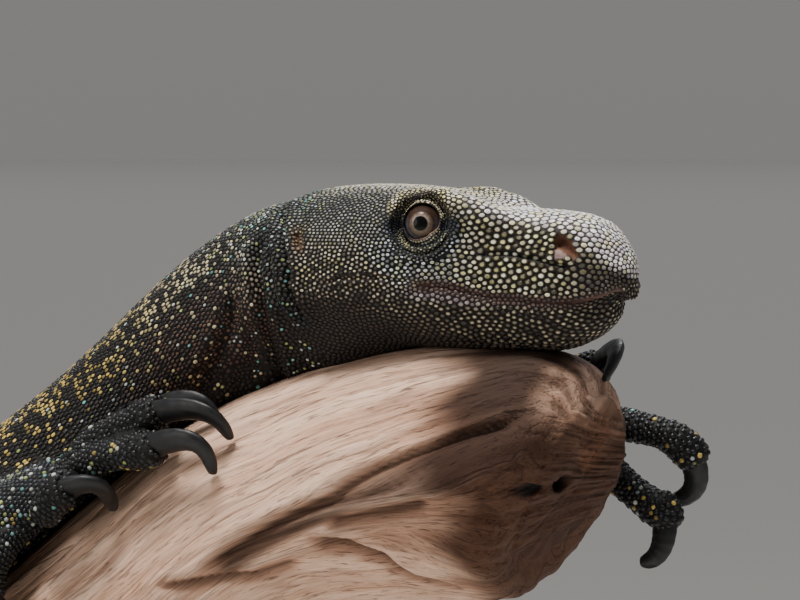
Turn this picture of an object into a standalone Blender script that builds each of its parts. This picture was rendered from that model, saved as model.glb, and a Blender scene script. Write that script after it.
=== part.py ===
"""A crocodile monitor at life size, lying along a cut branch on a display stand.

Metres, +Z up, and the animal faces +X. The origin is the middle of the stand's underside.
One long loft makes head, neck, trunk and tail, parted by thin cuts. Limbs are tubes joined
to their feet, whose digits and claws are laid out on the branch that they hold.
"""
import math

import bpy
import numpy as np

# ---- driving dimensions -------------------------------------------------------------------
SNOUT = np.array([0.555, -0.0875, 0.518])  # snout tip at the height of the mouth line
BASE_SIZE = (1.11, 0.515, 0.018)           # stand plate: length, width, thickness
BASE_CORNER = 0.045                        # radius of the plate's corners
GAP = 0.0003                               # between solids that touch
SVL = 0.735                                # snout to vent
TOTAL = 2.16                               # snout to tail tip
HEAD_END, NECK_END, WAIST = 0.1225, 0.272, 0.49
TAIL_LENGTHS = 6
EYE_RADIUS = 0.0070
EYE_PLACE = (-0.0715, 0.0150, 0.0240)      # from the snout tip, right or left by its sign
LID_DEPTH, LID_SCALE = 0.0068, 0.86        # the ball that opens the lids: how far out, and its size to the eye's
CHIN_SETBACK = 0.0035                      # how far the lower jaw stops short of the snout tip
ROD_RADIUS = 0.009
CLAW_HIGH, CLAW_WIDE = 0.0040, 0.0024       # half the claw's depth and width at its base

# Body stations: distance from snout tip, half width, height above and depth below the spine.
BODY = np.array([
    (0.000, 0.0030, 0.0050, 0.0065), (0.002, 0.0062, 0.0095, 0.0105), (0.007, 0.0102, 0.0145, 0.0155),
    (0.015, 0.0136, 0.0195, 0.0200), (0.025, 0.0157, 0.0217, 0.0235), (0.036, 0.0162, 0.0222, 0.0250),
    (0.050, 0.0182, 0.0228, 0.0258), (0.060, 0.0208, 0.0262, 0.0260), (0.070, 0.0230, 0.0285, 0.0258),
    (0.085, 0.0262, 0.0290, 0.0248), (0.100, 0.0286, 0.0288, 0.0235), (0.113, 0.0292, 0.0280, 0.0235),
    (0.128, 0.0268, 0.0265, 0.0250), (0.150, 0.0255, 0.0250, 0.0265), (0.180, 0.0255, 0.0240, 0.0250),
    (0.215, 0.0268, 0.0240, 0.0240), (0.250, 0.0320, 0.0262, 0.0255), (0.290, 0.0400, 0.0300, 0.0285),
    (0.350, 0.0480, 0.0345, 0.0330), (0.440, 0.0535, 0.0385, 0.0365), (0.530, 0.0540, 0.0390, 0.0370),
    (0.600, 0.0495, 0.0370, 0.0345), (0.665, 0.0420, 0.0335, 0.0310), (0.735, 0.0330, 0.0300, 0.0270),
    (0.850, 0.0262, 0.0262, 0.0235), (1.050, 0.0200, 0.0212, 0.0190), (1.300, 0.0138, 0.0158, 0.0140),
    (1.600, 0.0086, 0.0104, 0.0092), (1.900, 0.0050, 0.0062, 0.0055), (2.160, 0.0016, 0.0018, 0.0016)])

# The spine from the snout to where the tail meets the stand, from the snout tip.
SPINE = np.array([
    (0.000, 0, 0.006), (-0.030, 0, 0.0070), (-0.060, 0, 0.0080), (-0.090, 0, 0.0082), (-0.117, 0, 0.0075),
    (-0.141, 0, 0.0015), (-0.166, 0, -0.0130), (-0.197, 0, -0.0380), (-0.257, 0, -0.0850),
    (-0.345, 0, -0.1370), (-0.447, 0, -0.1960), (-0.543, 0, -0.2520), (-0.636, 0, -0.3080),
    (-0.716, 0, -0.3560), (-0.790, 0, -0.4080), (-0.860, 0, -0.4520), (-0.915, 0, -0.4745)])
TAIL_TURN = 0.150                          # radius of the tail's half turn on the plate
TAIL_TIP_BEND = math.radians(38)           # how far the last stretch swings inwards

# The branch: its axis from the upper end down, from the snout tip, and its radius.
BRANCH = np.array([
    (-0.016, 0, -0.0573), (-0.080, 0, -0.0610), (-0.124, 0, -0.0730), (-0.153, 0, -0.0885), (-0.182, 0, -0.1110),
    (-0.218, 0, -0.1385), (-0.300, 0, -0.2010), (-0.400, 0, -0.2690), (-0.500, 0, -0.3290), (-0.600, 0, -0.3810),
    (-0.680, 0, -0.4190)])
BRANCH_RADIUS = ((0.00, 0.08, 0.20, 0.45, 0.80), (0.0395, 0.0430, 0.0480, 0.0510, 0.0530))
END_SLANT = 0.028                          # how far the upper end is cut back underneath
ROD_PLACES = (0.080, 0.565)                # distances along the branch


def smooth(x, xs, ys):
    """Monotone cubic through a table, so a profile never overshoots between its stations."""
    xs, ys = np.asarray(xs, float), np.asarray(ys, float)
    h, d = np.diff(xs), np.diff(ys) / np.diff(xs)
    m = np.zeros_like(ys)
    m[0], m[-1] = d[0], d[-1]
    same = d[:-1] * d[1:] > 0
    mean = 2 * d[:-1] * d[1:] / np.where(same, d[:-1] + d[1:], 1)
    m[1:-1] = np.where(same, mean, 0)
    x = np.clip(np.asarray(x, float), xs[0], xs[-1])
    i = np.clip(np.searchsorted(xs, x, "right") - 1, 0, len(h) - 1)
    t = (x - xs[i]) / h[i]
    return ((1 + 2 * t) * (1 - t) ** 2 * ys[i] + t * (1 - t) ** 2 * h[i] * m[i]
            + t * t * (3 - 2 * t) * ys[i + 1] + t * t * (t - 1) * h[i] * m[i + 1])


class Path:
    """A smooth curve through points, read by distance, and run on straight past its ends."""

    def __init__(self, points, steps=24):
        p = np.asarray(points, float)
        ends = np.vstack([2 * p[0] - p[1], p, 2 * p[-1] - p[-2]])
        t = np.linspace(0, 1, steps, endpoint=False)[:, None]
        rows = [0.5 * (2 * b + (c - a) * t + (2 * a - 5 * b + 4 * c - d) * t ** 2
                       + (3 * b - a - 3 * c + d) * t ** 3)
                for a, b, c, d in zip(ends, ends[1:], ends[2:], ends[3:])]
        self.p = np.vstack(rows + [p[-1:]])
        self.s = np.concatenate([[0], np.cumsum(np.linalg.norm(np.diff(self.p, axis=0), axis=1))])
        self.length = self.s[-1]

    def at(self, s):
        s = np.asarray(s, float)
        inside = np.stack([np.interp(s, self.s, self.p[:, k]) for k in range(3)], -1)
        before, after = np.minimum(s, 0)[..., None], np.maximum(s - self.length, 0)[..., None]
        return inside + before * unit(self.p[1] - self.p[0]) + after * unit(self.p[-1] - self.p[-2])

    def tangent(self, s, step=0.002):
        return unit(self.at(np.asarray(s) + step) - self.at(np.asarray(s) - step))


def unit(v):
    return v / np.maximum(np.linalg.norm(v, axis=-1, keepdims=True), 1e-12)


# ---- body plan ----------------------------------------------------------------------------
def spine_points():
    """The spine's own points, then the tail's half turn and run along the plate, at its radius."""
    plate_top = BASE_SIZE[2] - SNOUT[2]
    points = [tuple(p) for p in SPINE]
    start = Path(points).length
    flat = []
    for angle in np.linspace(0, math.pi, 13)[1:]:
        flat.append((TAIL_TURN * angle, -math.sin(angle) * TAIL_TURN, (1 - math.cos(angle)) * TAIL_TURN))
    run = TOTAL - start - TAIL_TURN * math.pi
    x, y = flat[-1][1], flat[-1][2]
    for k in range(1, 13):
        bend = TAIL_TIP_BEND * max(0, k - 4) / 8
        x, y = x + run / 12 * math.cos(bend), y - run / 12 * math.sin(bend)
        flat.append((TAIL_TURN * math.pi + run * k / 12, x, y))
    for far, x, y in flat:
        depth = smooth(start + far, BODY[:, 0], BODY[:, 3])
        points.append((SPINE[-1][0] - 0.004 + x, y, plate_top + 2 * GAP + depth))
    return np.array(points) + SNOUT


SPINE_PATH = Path(spine_points())
BRANCH_PATH = Path(BRANCH + SNOUT)


def frame(path, s):
    """Place, forward, left and up on a path that runs away from the head."""
    forward = -path.tangent(s)
    left = unit(np.cross([0.0, 0.0, 1.0], forward))
    return path.at(s), forward, left, np.cross(forward, left)


def squareness(s):
    """Exponents of the section's upper and lower halves: 2 is an ellipse, more is boxier."""
    upper = smooth(s, (0, 0.03, 0.10, 0.16, 0.30, 0.73, 0.9), (2.3, 2.7, 2.6, 2.15, 2.2, 2.2, 2.0))
    lower = smooth(s, (0, 0.03, 0.10, 0.16, 0.30, 0.73, 0.9), (2.2, 2.4, 2.3, 2.1, 2.3, 2.3, 2.0))
    return upper, lower


# Rises and hollows of the head: distance, angle from the crown, height, and spread along and round.
HEAD_RELIEF = (
    (0.0655, 40, 0.0034, 0.0090, 11),    # brow ridge
    (0.0500, 46, 0.0014, 0.0100, 10),    # ridge from the brow to the nostril
    (0.0640, 0, -0.0016, 0.0120, 16),    # between the brows
    (0.0550, 74, -0.0014, 0.0070, 13),   # hollow before the eye
    (0.0920, 58, 0.0008, 0.0110, 20),    # temple
    (0.1000, 108, 0.0016, 0.0120, 22),   # jaw muscle
    (0.0170, 52, 0.0010, 0.0090, 22),    # swelling over the nostril
    (0.1255, 80, -0.0018, 0.0040, 45))   # crease behind the head


def relief(s, angle):
    """How far the head stands out from its plain loft."""
    degrees = np.abs(np.degrees((angle + math.pi) % (2 * math.pi) - math.pi))
    return sum(h * np.exp(-((s - s0) / along) ** 2 / 2 - ((degrees - a0) / round_it) ** 2 / 2)
               for s0, a0, h, along, round_it in HEAD_RELIEF)


def body_point(s, angle, grow=0.0):
    """A point on the body: distance from the snout, and angle from the back towards the left."""
    grow = grow + relief(s, angle)
    place, forward, left, up = frame(SPINE_PATH, s)
    wide, high, deep = (smooth(s, BODY[:, 0], BODY[:, k]) + grow for k in (1, 2, 3))
    upper, lower = squareness(s)
    c, sn = np.cos(angle), np.sin(angle)
    power = 2 / np.where(c > 0, upper, lower)
    across = wide * np.sign(sn) * np.abs(sn) ** power
    rise = np.where(c > 0, high, deep) * np.sign(c) * np.abs(c) ** power
    # Below the mouth line the tip of the lower jaw is set back.
    chin = CHIN_SETBACK * np.clip((-0.004 - rise) / 0.006, 0, 1) * np.clip(1 - s / 0.03, 0, 1)
    return place + left * across[..., None] + up * rise[..., None] - forward * chin[..., None]


def branch_radius(s, angle):
    lumps = 0.030 * np.cos(2 * angle + 0.6 + 5 * s) + 0.025 * np.sin(3 * angle + 11 * s) + 0.012 * np.sin(31 * s)
    end = np.clip(s / 0.018, 0, 1)
    rounding = 0.70 + 0.30 * np.sqrt(1 - (1 - end) ** 2)
    return smooth(s, *BRANCH_RADIUS) * (1 + lumps) * rounding


def branch_place(s, angle):
    """Axis place for a point over the branch, whose upper end is cut back towards its underside."""
    under = (1 - np.cos(angle)) / 2
    return s + END_SLANT * under ** 2 * np.clip(1 - s / 0.13, 0, 1) ** 2


def branch_point(s, angle, height=0.0):
    """A point over the branch: distance from its upper end, angle from the top towards the left."""
    place, _, left, up = frame(BRANCH_PATH, branch_place(s, angle))
    out = left * np.sin(angle)[..., None] + up * np.cos(angle)[..., None]
    return place + out * (branch_radius(np.maximum(s, 0.018), angle) + height)[..., None]


# ---- mesh tools ---------------------------------------------------------------------------
def add_mesh(name, verts, faces, material, sharp=40):
    mesh = bpy.data.meshes.new(name)
    mesh.from_pydata([tuple(v) for v in verts], [], faces)
    mesh.validate()
    mesh.update()
    mesh.materials.append(material)
    obj = bpy.data.objects.new(name, mesh)
    bpy.context.scene.collection.objects.link(obj)
    mesh.shade_smooth()
    mesh.set_sharp_from_angle(angle=math.radians(sharp))
    return obj


def loft(name, rings, material):
    """A closed solid through rings of points, each ring counter-clockwise seen from its far end."""
    rings = np.asarray(rings)
    count, around = rings.shape[:2]
    faces = [(i * around + j, i * around + (j + 1) % around,
              (i + 1) * around + (j + 1) % around, (i + 1) * around + j)
             for i in range(count - 1) for j in range(around)]
    faces.append(tuple(reversed(range(around))))
    faces.append(tuple((count - 1) * around + j for j in range(around)))
    obj = add_mesh(name, rings.reshape(-1, 3), faces, material)
    return face_out(obj)


def face_out(obj):
    """Turns an inside-out solid the right way round."""
    mesh = obj.data
    co = np.array([v.co for v in mesh.vertices])
    volume = 0.0
    mesh.calc_loop_triangles()
    for t in mesh.loop_triangles:
        a, b, c = co[list(t.vertices)]
        volume += a @ np.cross(b, c)
    if volume < 0:
        mesh.flip_normals()
    return obj


def tube(name, points, radii, around, material, flat=1.0, up=None, round_start=True, round_end=True, rings=8):
    """A closed tube along a smooth path. flat is its height over its width, with up as its height's way."""
    path = Path(points)
    s = np.linspace(0, path.length, rings)
    radius = smooth(s, np.linspace(0, path.length, len(radii)), radii)
    if round_start:
        s = np.insert(s, 0, (-0.95 * radii[0], -0.6 * radii[0]))
        radius = np.insert(radius, 0, (0.3 * radii[0], 0.8 * radii[0]))
    if round_end:
        s = np.append(s, (path.length + 0.6 * radii[-1], path.length + 0.95 * radii[-1]))
        radius = np.append(radius, (0.8 * radii[-1], 0.3 * radii[-1]))
    forward = path.tangent(s, 0.004)
    side = unit(np.cross(forward, carried(forward, up)))
    rise = np.cross(side, forward)
    angle = np.linspace(0, 2 * math.pi, around, endpoint=False)
    ring = (side[:, None] * np.cos(angle)[None, :, None]
            + rise[:, None] * np.sin(angle)[None, :, None] * flat)
    return loft(name, path.at(s)[:, None] + ring * radius[:, None, None], material)


def carried(forward, up=None):
    """An up direction carried along a path without twist."""
    if up is None:
        up = np.array([0.0, 0.0, 1.0]) if abs(forward[0][2]) < 0.85 else np.array([1.0, 0.0, 0.0])
    ups = [up]
    for f in forward:
        ups.append(unit(ups[-1] - f * (ups[-1] @ f)))
    return np.array(ups[1:])


def combine(obj, other, operation):
    """Applies a Boolean of other to obj, and removes other."""
    modifier = obj.modifiers.new(operation.lower(), "BOOLEAN")
    modifier.operation, modifier.object, modifier.solver = operation, other, "EXACT"
    with bpy.context.temp_override(object=obj, active_object=obj):
        bpy.ops.object.modifier_apply(modifier=modifier.name)
    bpy.data.objects.remove(other)
    return obj


def paint(name, colour, roughness, metallic=0.0):
    material = bpy.data.materials.new(name)
    material.use_nodes = True
    shader = material.node_tree.nodes["Principled BSDF"]
    shader.inputs["Base Color"].default_value = (*colour, 1)
    shader.inputs["Roughness"].default_value = roughness
    shader.inputs["Metallic"].default_value = metallic
    return material


# ---- sub-parts ----------------------------------------------------------------------------
def body_piece(name, start, end, around, step, material, grow=0.0):
    """One length of the body's loft, with more rings where the snout rounds off."""
    rings = max(3, round((end - start) / step) + 1)
    s = np.linspace(start, end, rings)
    if start < 0.01:
        s = np.concatenate([[0.0, 0.0015, 0.004, 0.008, 0.0135, 0.020], np.linspace(0.028, end, rings - 4)])
    angle = np.linspace(0, 2 * math.pi, around, endpoint=False)
    s, angle = np.meshgrid(s, angle, indexing="ij")
    return loft(name, body_point(s, angle, grow), material)


def branch_piece(name, material, grow=0.0, around=18):
    s = np.concatenate([[0, 0.003, 0.009, 0.018], np.linspace(0.040, BRANCH_PATH.length, 17)])
    angle = np.linspace(0, 2 * math.pi, around, endpoint=False)
    s, angle = np.meshgrid(s, angle, indexing="ij")
    place, forward, left, up = frame(BRANCH_PATH, branch_place(s, angle))
    out = left * np.sin(angle)[..., None] + up * np.cos(angle)[..., None]
    points = place + out * (branch_radius(s, angle) + grow)[..., None]
    points[0] += forward[0] * grow
    points[-1] -= forward[-1] * grow
    return loft(name, points, material)


def ball(name, centre, radius, material, around=16):
    """A sphere whose poles lie across the body."""
    turns = np.linspace(0, math.pi, around // 2 + 1)[1:-1]
    angle = np.linspace(0, 2 * math.pi, around, endpoint=False)
    verts = [(0, -1, 0)]
    for t in turns:
        verts += [(math.sin(t) * math.cos(a), -math.cos(t), math.sin(t) * math.sin(a)) for a in angle]
    verts.append((0, 1, 0))
    faces = [(0, 1 + j, 1 + (j + 1) % around) for j in range(around)]
    for i in range(len(turns) - 1):
        low, high = 1 + i * around, 1 + (i + 1) * around
        faces += [(low + (j + 1) % around, low + j, high + j, high + (j + 1) % around) for j in range(around)]
    last = 1 + (len(turns) - 1) * around
    faces += [(len(verts) - 1, last + (j + 1) % around, last + j) for j in range(around)]
    return face_out(add_mesh(name, np.array(verts) * radius + centre, faces, material))


# Each limb: where it leaves the body (distance, angle from the back), its elbow or knee from
# the snout tip, its wrist or ankle and its palm over the branch (distance, angle, height), and
# the radii of its upper and lower lengths and its foot. A digit is its last knuckle and its
# claw's bend and tip over the branch, with a middle knuckle before them where it needs one, or
# just the angle it fans out at and its length.
FORE = dict(upper=(0.0235, 0.0215, 0.0165), lower=(0.0165, 0.0178, 0.0135, 0.0112), foot=(0.0112, 0.0140, 0.0135))
HIND = dict(upper=(0.0330, 0.0300, 0.0205), lower=(0.0205, 0.0225, 0.0160, 0.0125), foot=(0.0125, 0.0155, 0.0150))
LIMBS = {
    "foreleg_right": dict(
        FORE, root=(0.292, -104), joint=(-0.238, -0.108, -0.122),
        wrist=(0.201, -36, 0.021), palm=(0.178, -33, 0.014),
        digits=(((0.1360, -28, 0.011), (0.1170, -31, 0.014), (0.1180, -34, 0.000)),
                ((0.1265, -40, 0.015), (0.1070, -47, 0.017), (0.1113, -51, 0.000)),
                ((0.1285, -52, 0.013), (0.1080, -57, 0.017), (0.1175, -65, 0.000)),
                ((0.1690, -50, 0.017), (0.1565, -52, 0.020), (0.1420, -57, 0.020), (0.1555, -51, 0.001)),
                ((0.2070, -62, 0.012), (0.2100, -76, 0.013), (0.2120, -82, 0.000)))),
    "foreleg_left": dict(
        FORE, root=(0.268, 100), joint=(-0.168, 0.100, -0.084),
        wrist=(0.077, 70, 0.021), palm=(0.053, 66, 0.015),
        digits=(((0.0318, 48, 0.006), (0.0153, 39, 0.005), (-0.0042, 23, 0.010), (0.0008, 17, -0.010)),
                ((0.0048, 77, 0.0160), (-0.0082, 88, 0.021), (-0.0137, 99, 0.026), (0.0003, 101, 0.023)),
                ((0.0005, 102, 0.0105), (-0.0090, 110, 0.0120), (-0.0140, 123, 0.015), (-0.0045, 123, 0.015)),
                ((0.0450, 112, 0.012), (0.0350, 124, 0.013), (0.0400, 128, 0.000)),
                ((0.0690, 106, 0.012), (0.0710, 120, 0.014), (0.0730, 125, 0.000)))),
    "hindleg_right": dict(
        HIND, root=(0.668, -104), joint=(-0.523, -0.128, -0.255),
        wrist=(0.530, -66, 0.021), palm=(0.500, -64, 0.015),
        digits=((-38, 0.026), (-17, 0.038), (0, 0.048), (18, 0.054), (64, 0.036))),
    "hindleg_left": dict(
        HIND, root=(0.668, 104), joint=(-0.560, 0.130, -0.268),
        wrist=(0.580, 68, 0.021), palm=(0.552, 66, 0.015),
        digits=((-38, 0.026), (-17, 0.038), (0, 0.048), (18, 0.054), (64, 0.036)))}
KNUCKLE, CLAW_REACH = 0.013, 0.0150        # height of the last knuckle, and how far a claw reaches past it


def over_branch(s, degrees, height):
    return branch_point(np.array(s, float), np.array(math.radians(degrees)), height)


def digit_places(palm, digit):
    """A digit's middle and last knuckles and its claw's bend and tip, over the branch."""
    if len(digit) == 4:
        return digit
    if len(digit) == 2:
        turn, length = math.radians(digit[0]), digit[1]
        s, degrees, _ = palm
        around = math.copysign(1, degrees) * math.degrees(math.sin(turn) / 0.058)
        along = math.cos(turn)
        far = length + CLAW_REACH
        digit = ((s - along * length, degrees + around * length, KNUCKLE),
                 (s - along * far, degrees + around * far, KNUCKLE), (s - along * far, degrees + around * far, 0.0))
    middle = np.array(palm) * 0.42 + np.array(digit[0]) * 0.58 + (0, 0, KNUCKLE * 0.2)
    return (tuple(middle), *digit)


def claw(name, knuckle, bend, tip, material):
    """A hooked claw from the last knuckle, through a bend, to its tip."""
    start, bend, tip = (over_branch(*k) for k in (knuckle, bend, tip))
    start = start + unit(bend - start) * GAP
    t = np.linspace(0, 1, 6)[:, None]
    line = start * (1 - t) ** 2 + 2 * bend * t * (1 - t) + tip * t ** 2
    forward = unit(2 * (1 - t) * (bend - start) + 2 * t * (tip - bend))
    side = unit(np.cross(bend - start, tip - bend))
    inwards = np.cross(side, forward)
    angle = np.linspace(0, 2 * math.pi, 6, endpoint=False)
    taper = np.maximum(1 - t, 0) ** 0.42
    high, wide = 0.0004 + CLAW_HIGH * taper, 0.0004 + CLAW_WIDE * taper
    return loft(name, line[:, None] + inwards[:, None] * (np.cos(angle) * high)[..., None]
                + side * (np.sin(angle) * wide)[..., None], material)


def limb_pieces(name, limb, skin, horn):
    """A leg joined to its foot, and its five claws."""
    s, degrees = limb["root"]
    side = body_point(np.array(s), np.array(math.radians(degrees)))
    inner = SPINE_PATH.at(s) * 0.45 + side * 0.55
    joint = np.array(limb["joint"]) + SNOUT
    wrist, palm = (over_branch(*limb[k]) for k in ("wrist", "palm"))
    outward = unit(palm - over_branch(*limb["palm"][:2], -0.01))
    leg = tube(name, [inner, side * 0.6 + joint * 0.4, joint], limb["upper"], 10, skin, rings=4)
    parts = [tube("lower", [joint, joint * 0.5 + wrist * 0.5, wrist], limb["lower"], 10, skin, rings=4),
             tube("foot", [wrist, palm], limb["foot"], 8, skin, flat=0.72, up=outward, rings=3)]
    claws = []
    thick = limb["foot"][-1] * 0.36
    for k, digit in enumerate(limb["digits"], 1):
        middle, knuckle, bend, tip = digit_places(limb["palm"], digit)
        root = np.array(limb["palm"]) * (0.82, 0.82, 0.62) + np.array(middle) * 0.18
        points = [over_branch(*k) for k in (root, middle, knuckle)]
        points.insert(2, points[2] + unit(points[2] - over_branch(*bend)) * 0.004)
        parts.append(tube("digit", points, (thick * 1.25, thick, thick), 6, skin, round_end=False, rings=5))
        claws.append(claw(f"claw_{name}_{k}", knuckle, bend, tip, horn))
    for part in parts:
        combine(leg, part, "UNION")
    return leg, claws


def plate(name, size, corner, material, steps=6):
    """A flat plate with rounded corners, centred over the origin."""
    length, width, thick = size
    outline = []
    for k, (sx, sy) in enumerate(((1, 1), (-1, 1), (-1, -1), (1, -1))):
        for a in np.linspace(k * math.pi / 2, (k + 1) * math.pi / 2, steps):
            outline.append((sx * (length / 2 - corner) + corner * math.cos(a),
                            sy * (width / 2 - corner) + corner * math.sin(a)))
    outline = np.array(outline)
    rings = [np.column_stack([outline * k, np.full(len(outline), z)])
             for k, z in ((1, 0.0), (1, thick - 0.0025), (1 - 0.005 / length, thick))]
    return loft(name, rings, material)


def rod(name, s, material):
    """A rod from the plate up into the branch's underside."""
    foot = BRANCH_PATH.at(s)
    angle = np.linspace(0, 2 * math.pi, 16, endpoint=False)
    circle = np.column_stack([np.cos(angle), np.sin(angle)]) * ROD_RADIUS + foot[:2]
    rings = [np.column_stack([circle, np.full(16, z)]) for z in (BASE_SIZE[2] + GAP, foot[2])]
    return loft(name, rings, material)


def build():
    for obj in list(bpy.data.objects):
        bpy.data.objects.remove(obj)
    skin = paint("skin", (0.035, 0.038, 0.032), 0.5)
    face = paint("face", (0.16, 0.15, 0.11), 0.45)
    horn = paint("horn", (0.03, 0.032, 0.036), 0.3)
    iris = paint("iris", (0.20, 0.13, 0.08), 0.1)
    wood = paint("wood", (0.36, 0.20, 0.12), 0.75)
    board = paint("board", (0.05, 0.048, 0.045), 0.5)
    steel = paint("steel", (0.35, 0.35, 0.36), 0.35, 0.9)

    branch_piece("perch_branch", wood)
    cuts = [0.0, HEAD_END, NECK_END, WAIST, SVL]
    names = ["head", "neck", "trunk_front", "trunk_rear"]
    steps = [0.0074, 0.0185, 0.031, 0.031]
    flesh = []
    for name, start, end, step in zip(names, cuts, cuts[1:], steps):
        flesh.append(body_piece(name, start + (GAP if start else 0), end, 26 if name == "head" else 18, step,
                                face if name == "head" else skin))
    joints = np.linspace(SVL, TOTAL, TAIL_LENGTHS + 1)
    for k in range(TAIL_LENGTHS):
        around = 12 if k < 3 else 8
        flesh.append(body_piece(f"tail_{k + 1}", joints[k] + GAP, joints[k + 1], around, 0.034, skin))
    for side, word in ((1, "left"), (-1, "right")):
        x, y, z = EYE_PLACE
        centre = SNOUT + (x, side * y, z)
        combine(flesh[0], ball("socket", centre, EYE_RADIUS + GAP, face, 10), "DIFFERENCE")
        opening = ball("opening", centre + (0, side * LID_DEPTH, 0), EYE_RADIUS * LID_SCALE, face, 10)
        combine(flesh[0], opening, "DIFFERENCE")
        ball(f"eye_{word}", centre, EYE_RADIUS, iris, 10)
    for name, limb in LIMBS.items():
        leg, claws = limb_pieces(name, limb, skin, horn)
        combine(leg, body_piece("trunk_space", HEAD_END, TOTAL * 0.4, 26, 0.02, skin, GAP * 2), "DIFFERENCE")
        flesh += [leg, *claws]
    for obj in flesh:
        if not obj.name.startswith("tail") or obj.name == "tail_1":
            combine(obj, branch_piece("branch_space", wood, GAP * 2), "DIFFERENCE")
    plate("stand_base", BASE_SIZE, BASE_CORNER, board)
    for k, s in enumerate(ROD_PLACES, 1):
        post = rod(f"stand_rod_{k}", s, steel)
        combine(post, branch_piece("branch_space", wood, GAP), "DIFFERENCE")


build()
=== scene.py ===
"""The crocodile monitor as it looks: skin, scales, eyes, claws and branch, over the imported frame.

Metres, +Z up, and the animal faces +X. The plan of the body, the branch and the limbs repeats the
solids' own. The skin lies inside the flesh by the depth of the scales, which stand on it as mesh.
"""

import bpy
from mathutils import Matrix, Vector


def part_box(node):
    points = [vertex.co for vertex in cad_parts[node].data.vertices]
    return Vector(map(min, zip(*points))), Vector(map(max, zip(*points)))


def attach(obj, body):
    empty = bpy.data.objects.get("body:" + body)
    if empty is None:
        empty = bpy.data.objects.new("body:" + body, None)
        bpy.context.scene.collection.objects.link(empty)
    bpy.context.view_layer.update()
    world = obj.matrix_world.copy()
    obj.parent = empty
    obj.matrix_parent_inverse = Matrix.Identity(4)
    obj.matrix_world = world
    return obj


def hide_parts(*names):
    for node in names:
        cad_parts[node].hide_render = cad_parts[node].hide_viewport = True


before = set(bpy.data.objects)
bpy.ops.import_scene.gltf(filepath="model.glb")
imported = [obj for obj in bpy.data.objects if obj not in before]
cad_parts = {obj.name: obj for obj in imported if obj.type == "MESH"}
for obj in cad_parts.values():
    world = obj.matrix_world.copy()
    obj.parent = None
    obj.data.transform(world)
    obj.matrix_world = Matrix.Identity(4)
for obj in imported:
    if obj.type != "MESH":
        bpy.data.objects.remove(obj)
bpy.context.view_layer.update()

import math

import bmesh
import bpy
import numpy as np
from mathutils import Vector
from mathutils.bvhtree import BVHTree
from mathutils.kdtree import KDTree

rng = np.random.default_rng(11)            # the one source of random draws, so each run is the same

# ---- the plan, as in the solids --------------------------------------------------------------
SNOUT = np.array([0.555, -0.0875, 0.518])
PLATE_TOP = 0.018
GAP = 0.0003                               # between pieces that touch
SVL, TOTAL = 0.735, 2.16                   # snout to vent, and to the tail's tip
NECK_END = 0.272                           # where the neck meets the trunk, from the snout
EYE_RADIUS = 0.0070
EYE_PLACE = (-0.0715, 0.0150, 0.0240)      # from the snout, on the left
CHIN_SETBACK = 0.0035                      # how far the lower jaw's tip stands back
COAT = 0.0007                              # how deep the skin lies under the tops of the scales

# Body stations: distance from snout tip, half width, height above and depth below the spine.
BODY = np.array([
    (0.000, 0.0030, 0.0050, 0.0065), (0.002, 0.0062, 0.0095, 0.0105), (0.007, 0.0102, 0.0145, 0.0155),
    (0.015, 0.0136, 0.0195, 0.0200), (0.025, 0.0157, 0.0217, 0.0235), (0.036, 0.0162, 0.0222, 0.0250),
    (0.050, 0.0182, 0.0228, 0.0258), (0.060, 0.0208, 0.0262, 0.0260), (0.070, 0.0230, 0.0285, 0.0258),
    (0.085, 0.0262, 0.0290, 0.0248), (0.100, 0.0286, 0.0288, 0.0235), (0.113, 0.0292, 0.0280, 0.0235),
    (0.128, 0.0268, 0.0265, 0.0250), (0.150, 0.0255, 0.0250, 0.0265), (0.180, 0.0255, 0.0240, 0.0250),
    (0.215, 0.0268, 0.0240, 0.0240), (0.250, 0.0320, 0.0262, 0.0255), (0.290, 0.0400, 0.0300, 0.0285),
    (0.350, 0.0480, 0.0345, 0.0330), (0.440, 0.0535, 0.0385, 0.0365), (0.530, 0.0540, 0.0390, 0.0370),
    (0.600, 0.0495, 0.0370, 0.0345), (0.665, 0.0420, 0.0335, 0.0310), (0.735, 0.0330, 0.0300, 0.0270),
    (0.850, 0.0262, 0.0262, 0.0235), (1.050, 0.0200, 0.0212, 0.0190), (1.300, 0.0138, 0.0158, 0.0140),
    (1.600, 0.0086, 0.0104, 0.0092), (1.900, 0.0050, 0.0062, 0.0055), (2.160, 0.0016, 0.0018, 0.0016)])
# The spine's places from the snout, down to where the tail starts its turn on the plate.
SPINE = np.array([
    (0.000, 0, 0.006), (-0.030, 0, 0.0070), (-0.060, 0, 0.0080), (-0.090, 0, 0.0082), (-0.117, 0, 0.0075),
    (-0.141, 0, 0.0015), (-0.166, 0, -0.0130), (-0.197, 0, -0.0380), (-0.257, 0, -0.0850),
    (-0.345, 0, -0.1370), (-0.447, 0, -0.1960), (-0.543, 0, -0.2520), (-0.636, 0, -0.3080),
    (-0.716, 0, -0.3560), (-0.790, 0, -0.4080), (-0.860, 0, -0.4520), (-0.915, 0, -0.4745)])
TAIL_TURN = 0.150                          # radius of the tail's half turn on the plate
TURN_START = 0.004                         # how far behind the spine's last place the turn starts
TAIL_TIP_BEND = math.radians(38)           # how far the tail's tip has turned at its end
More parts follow.
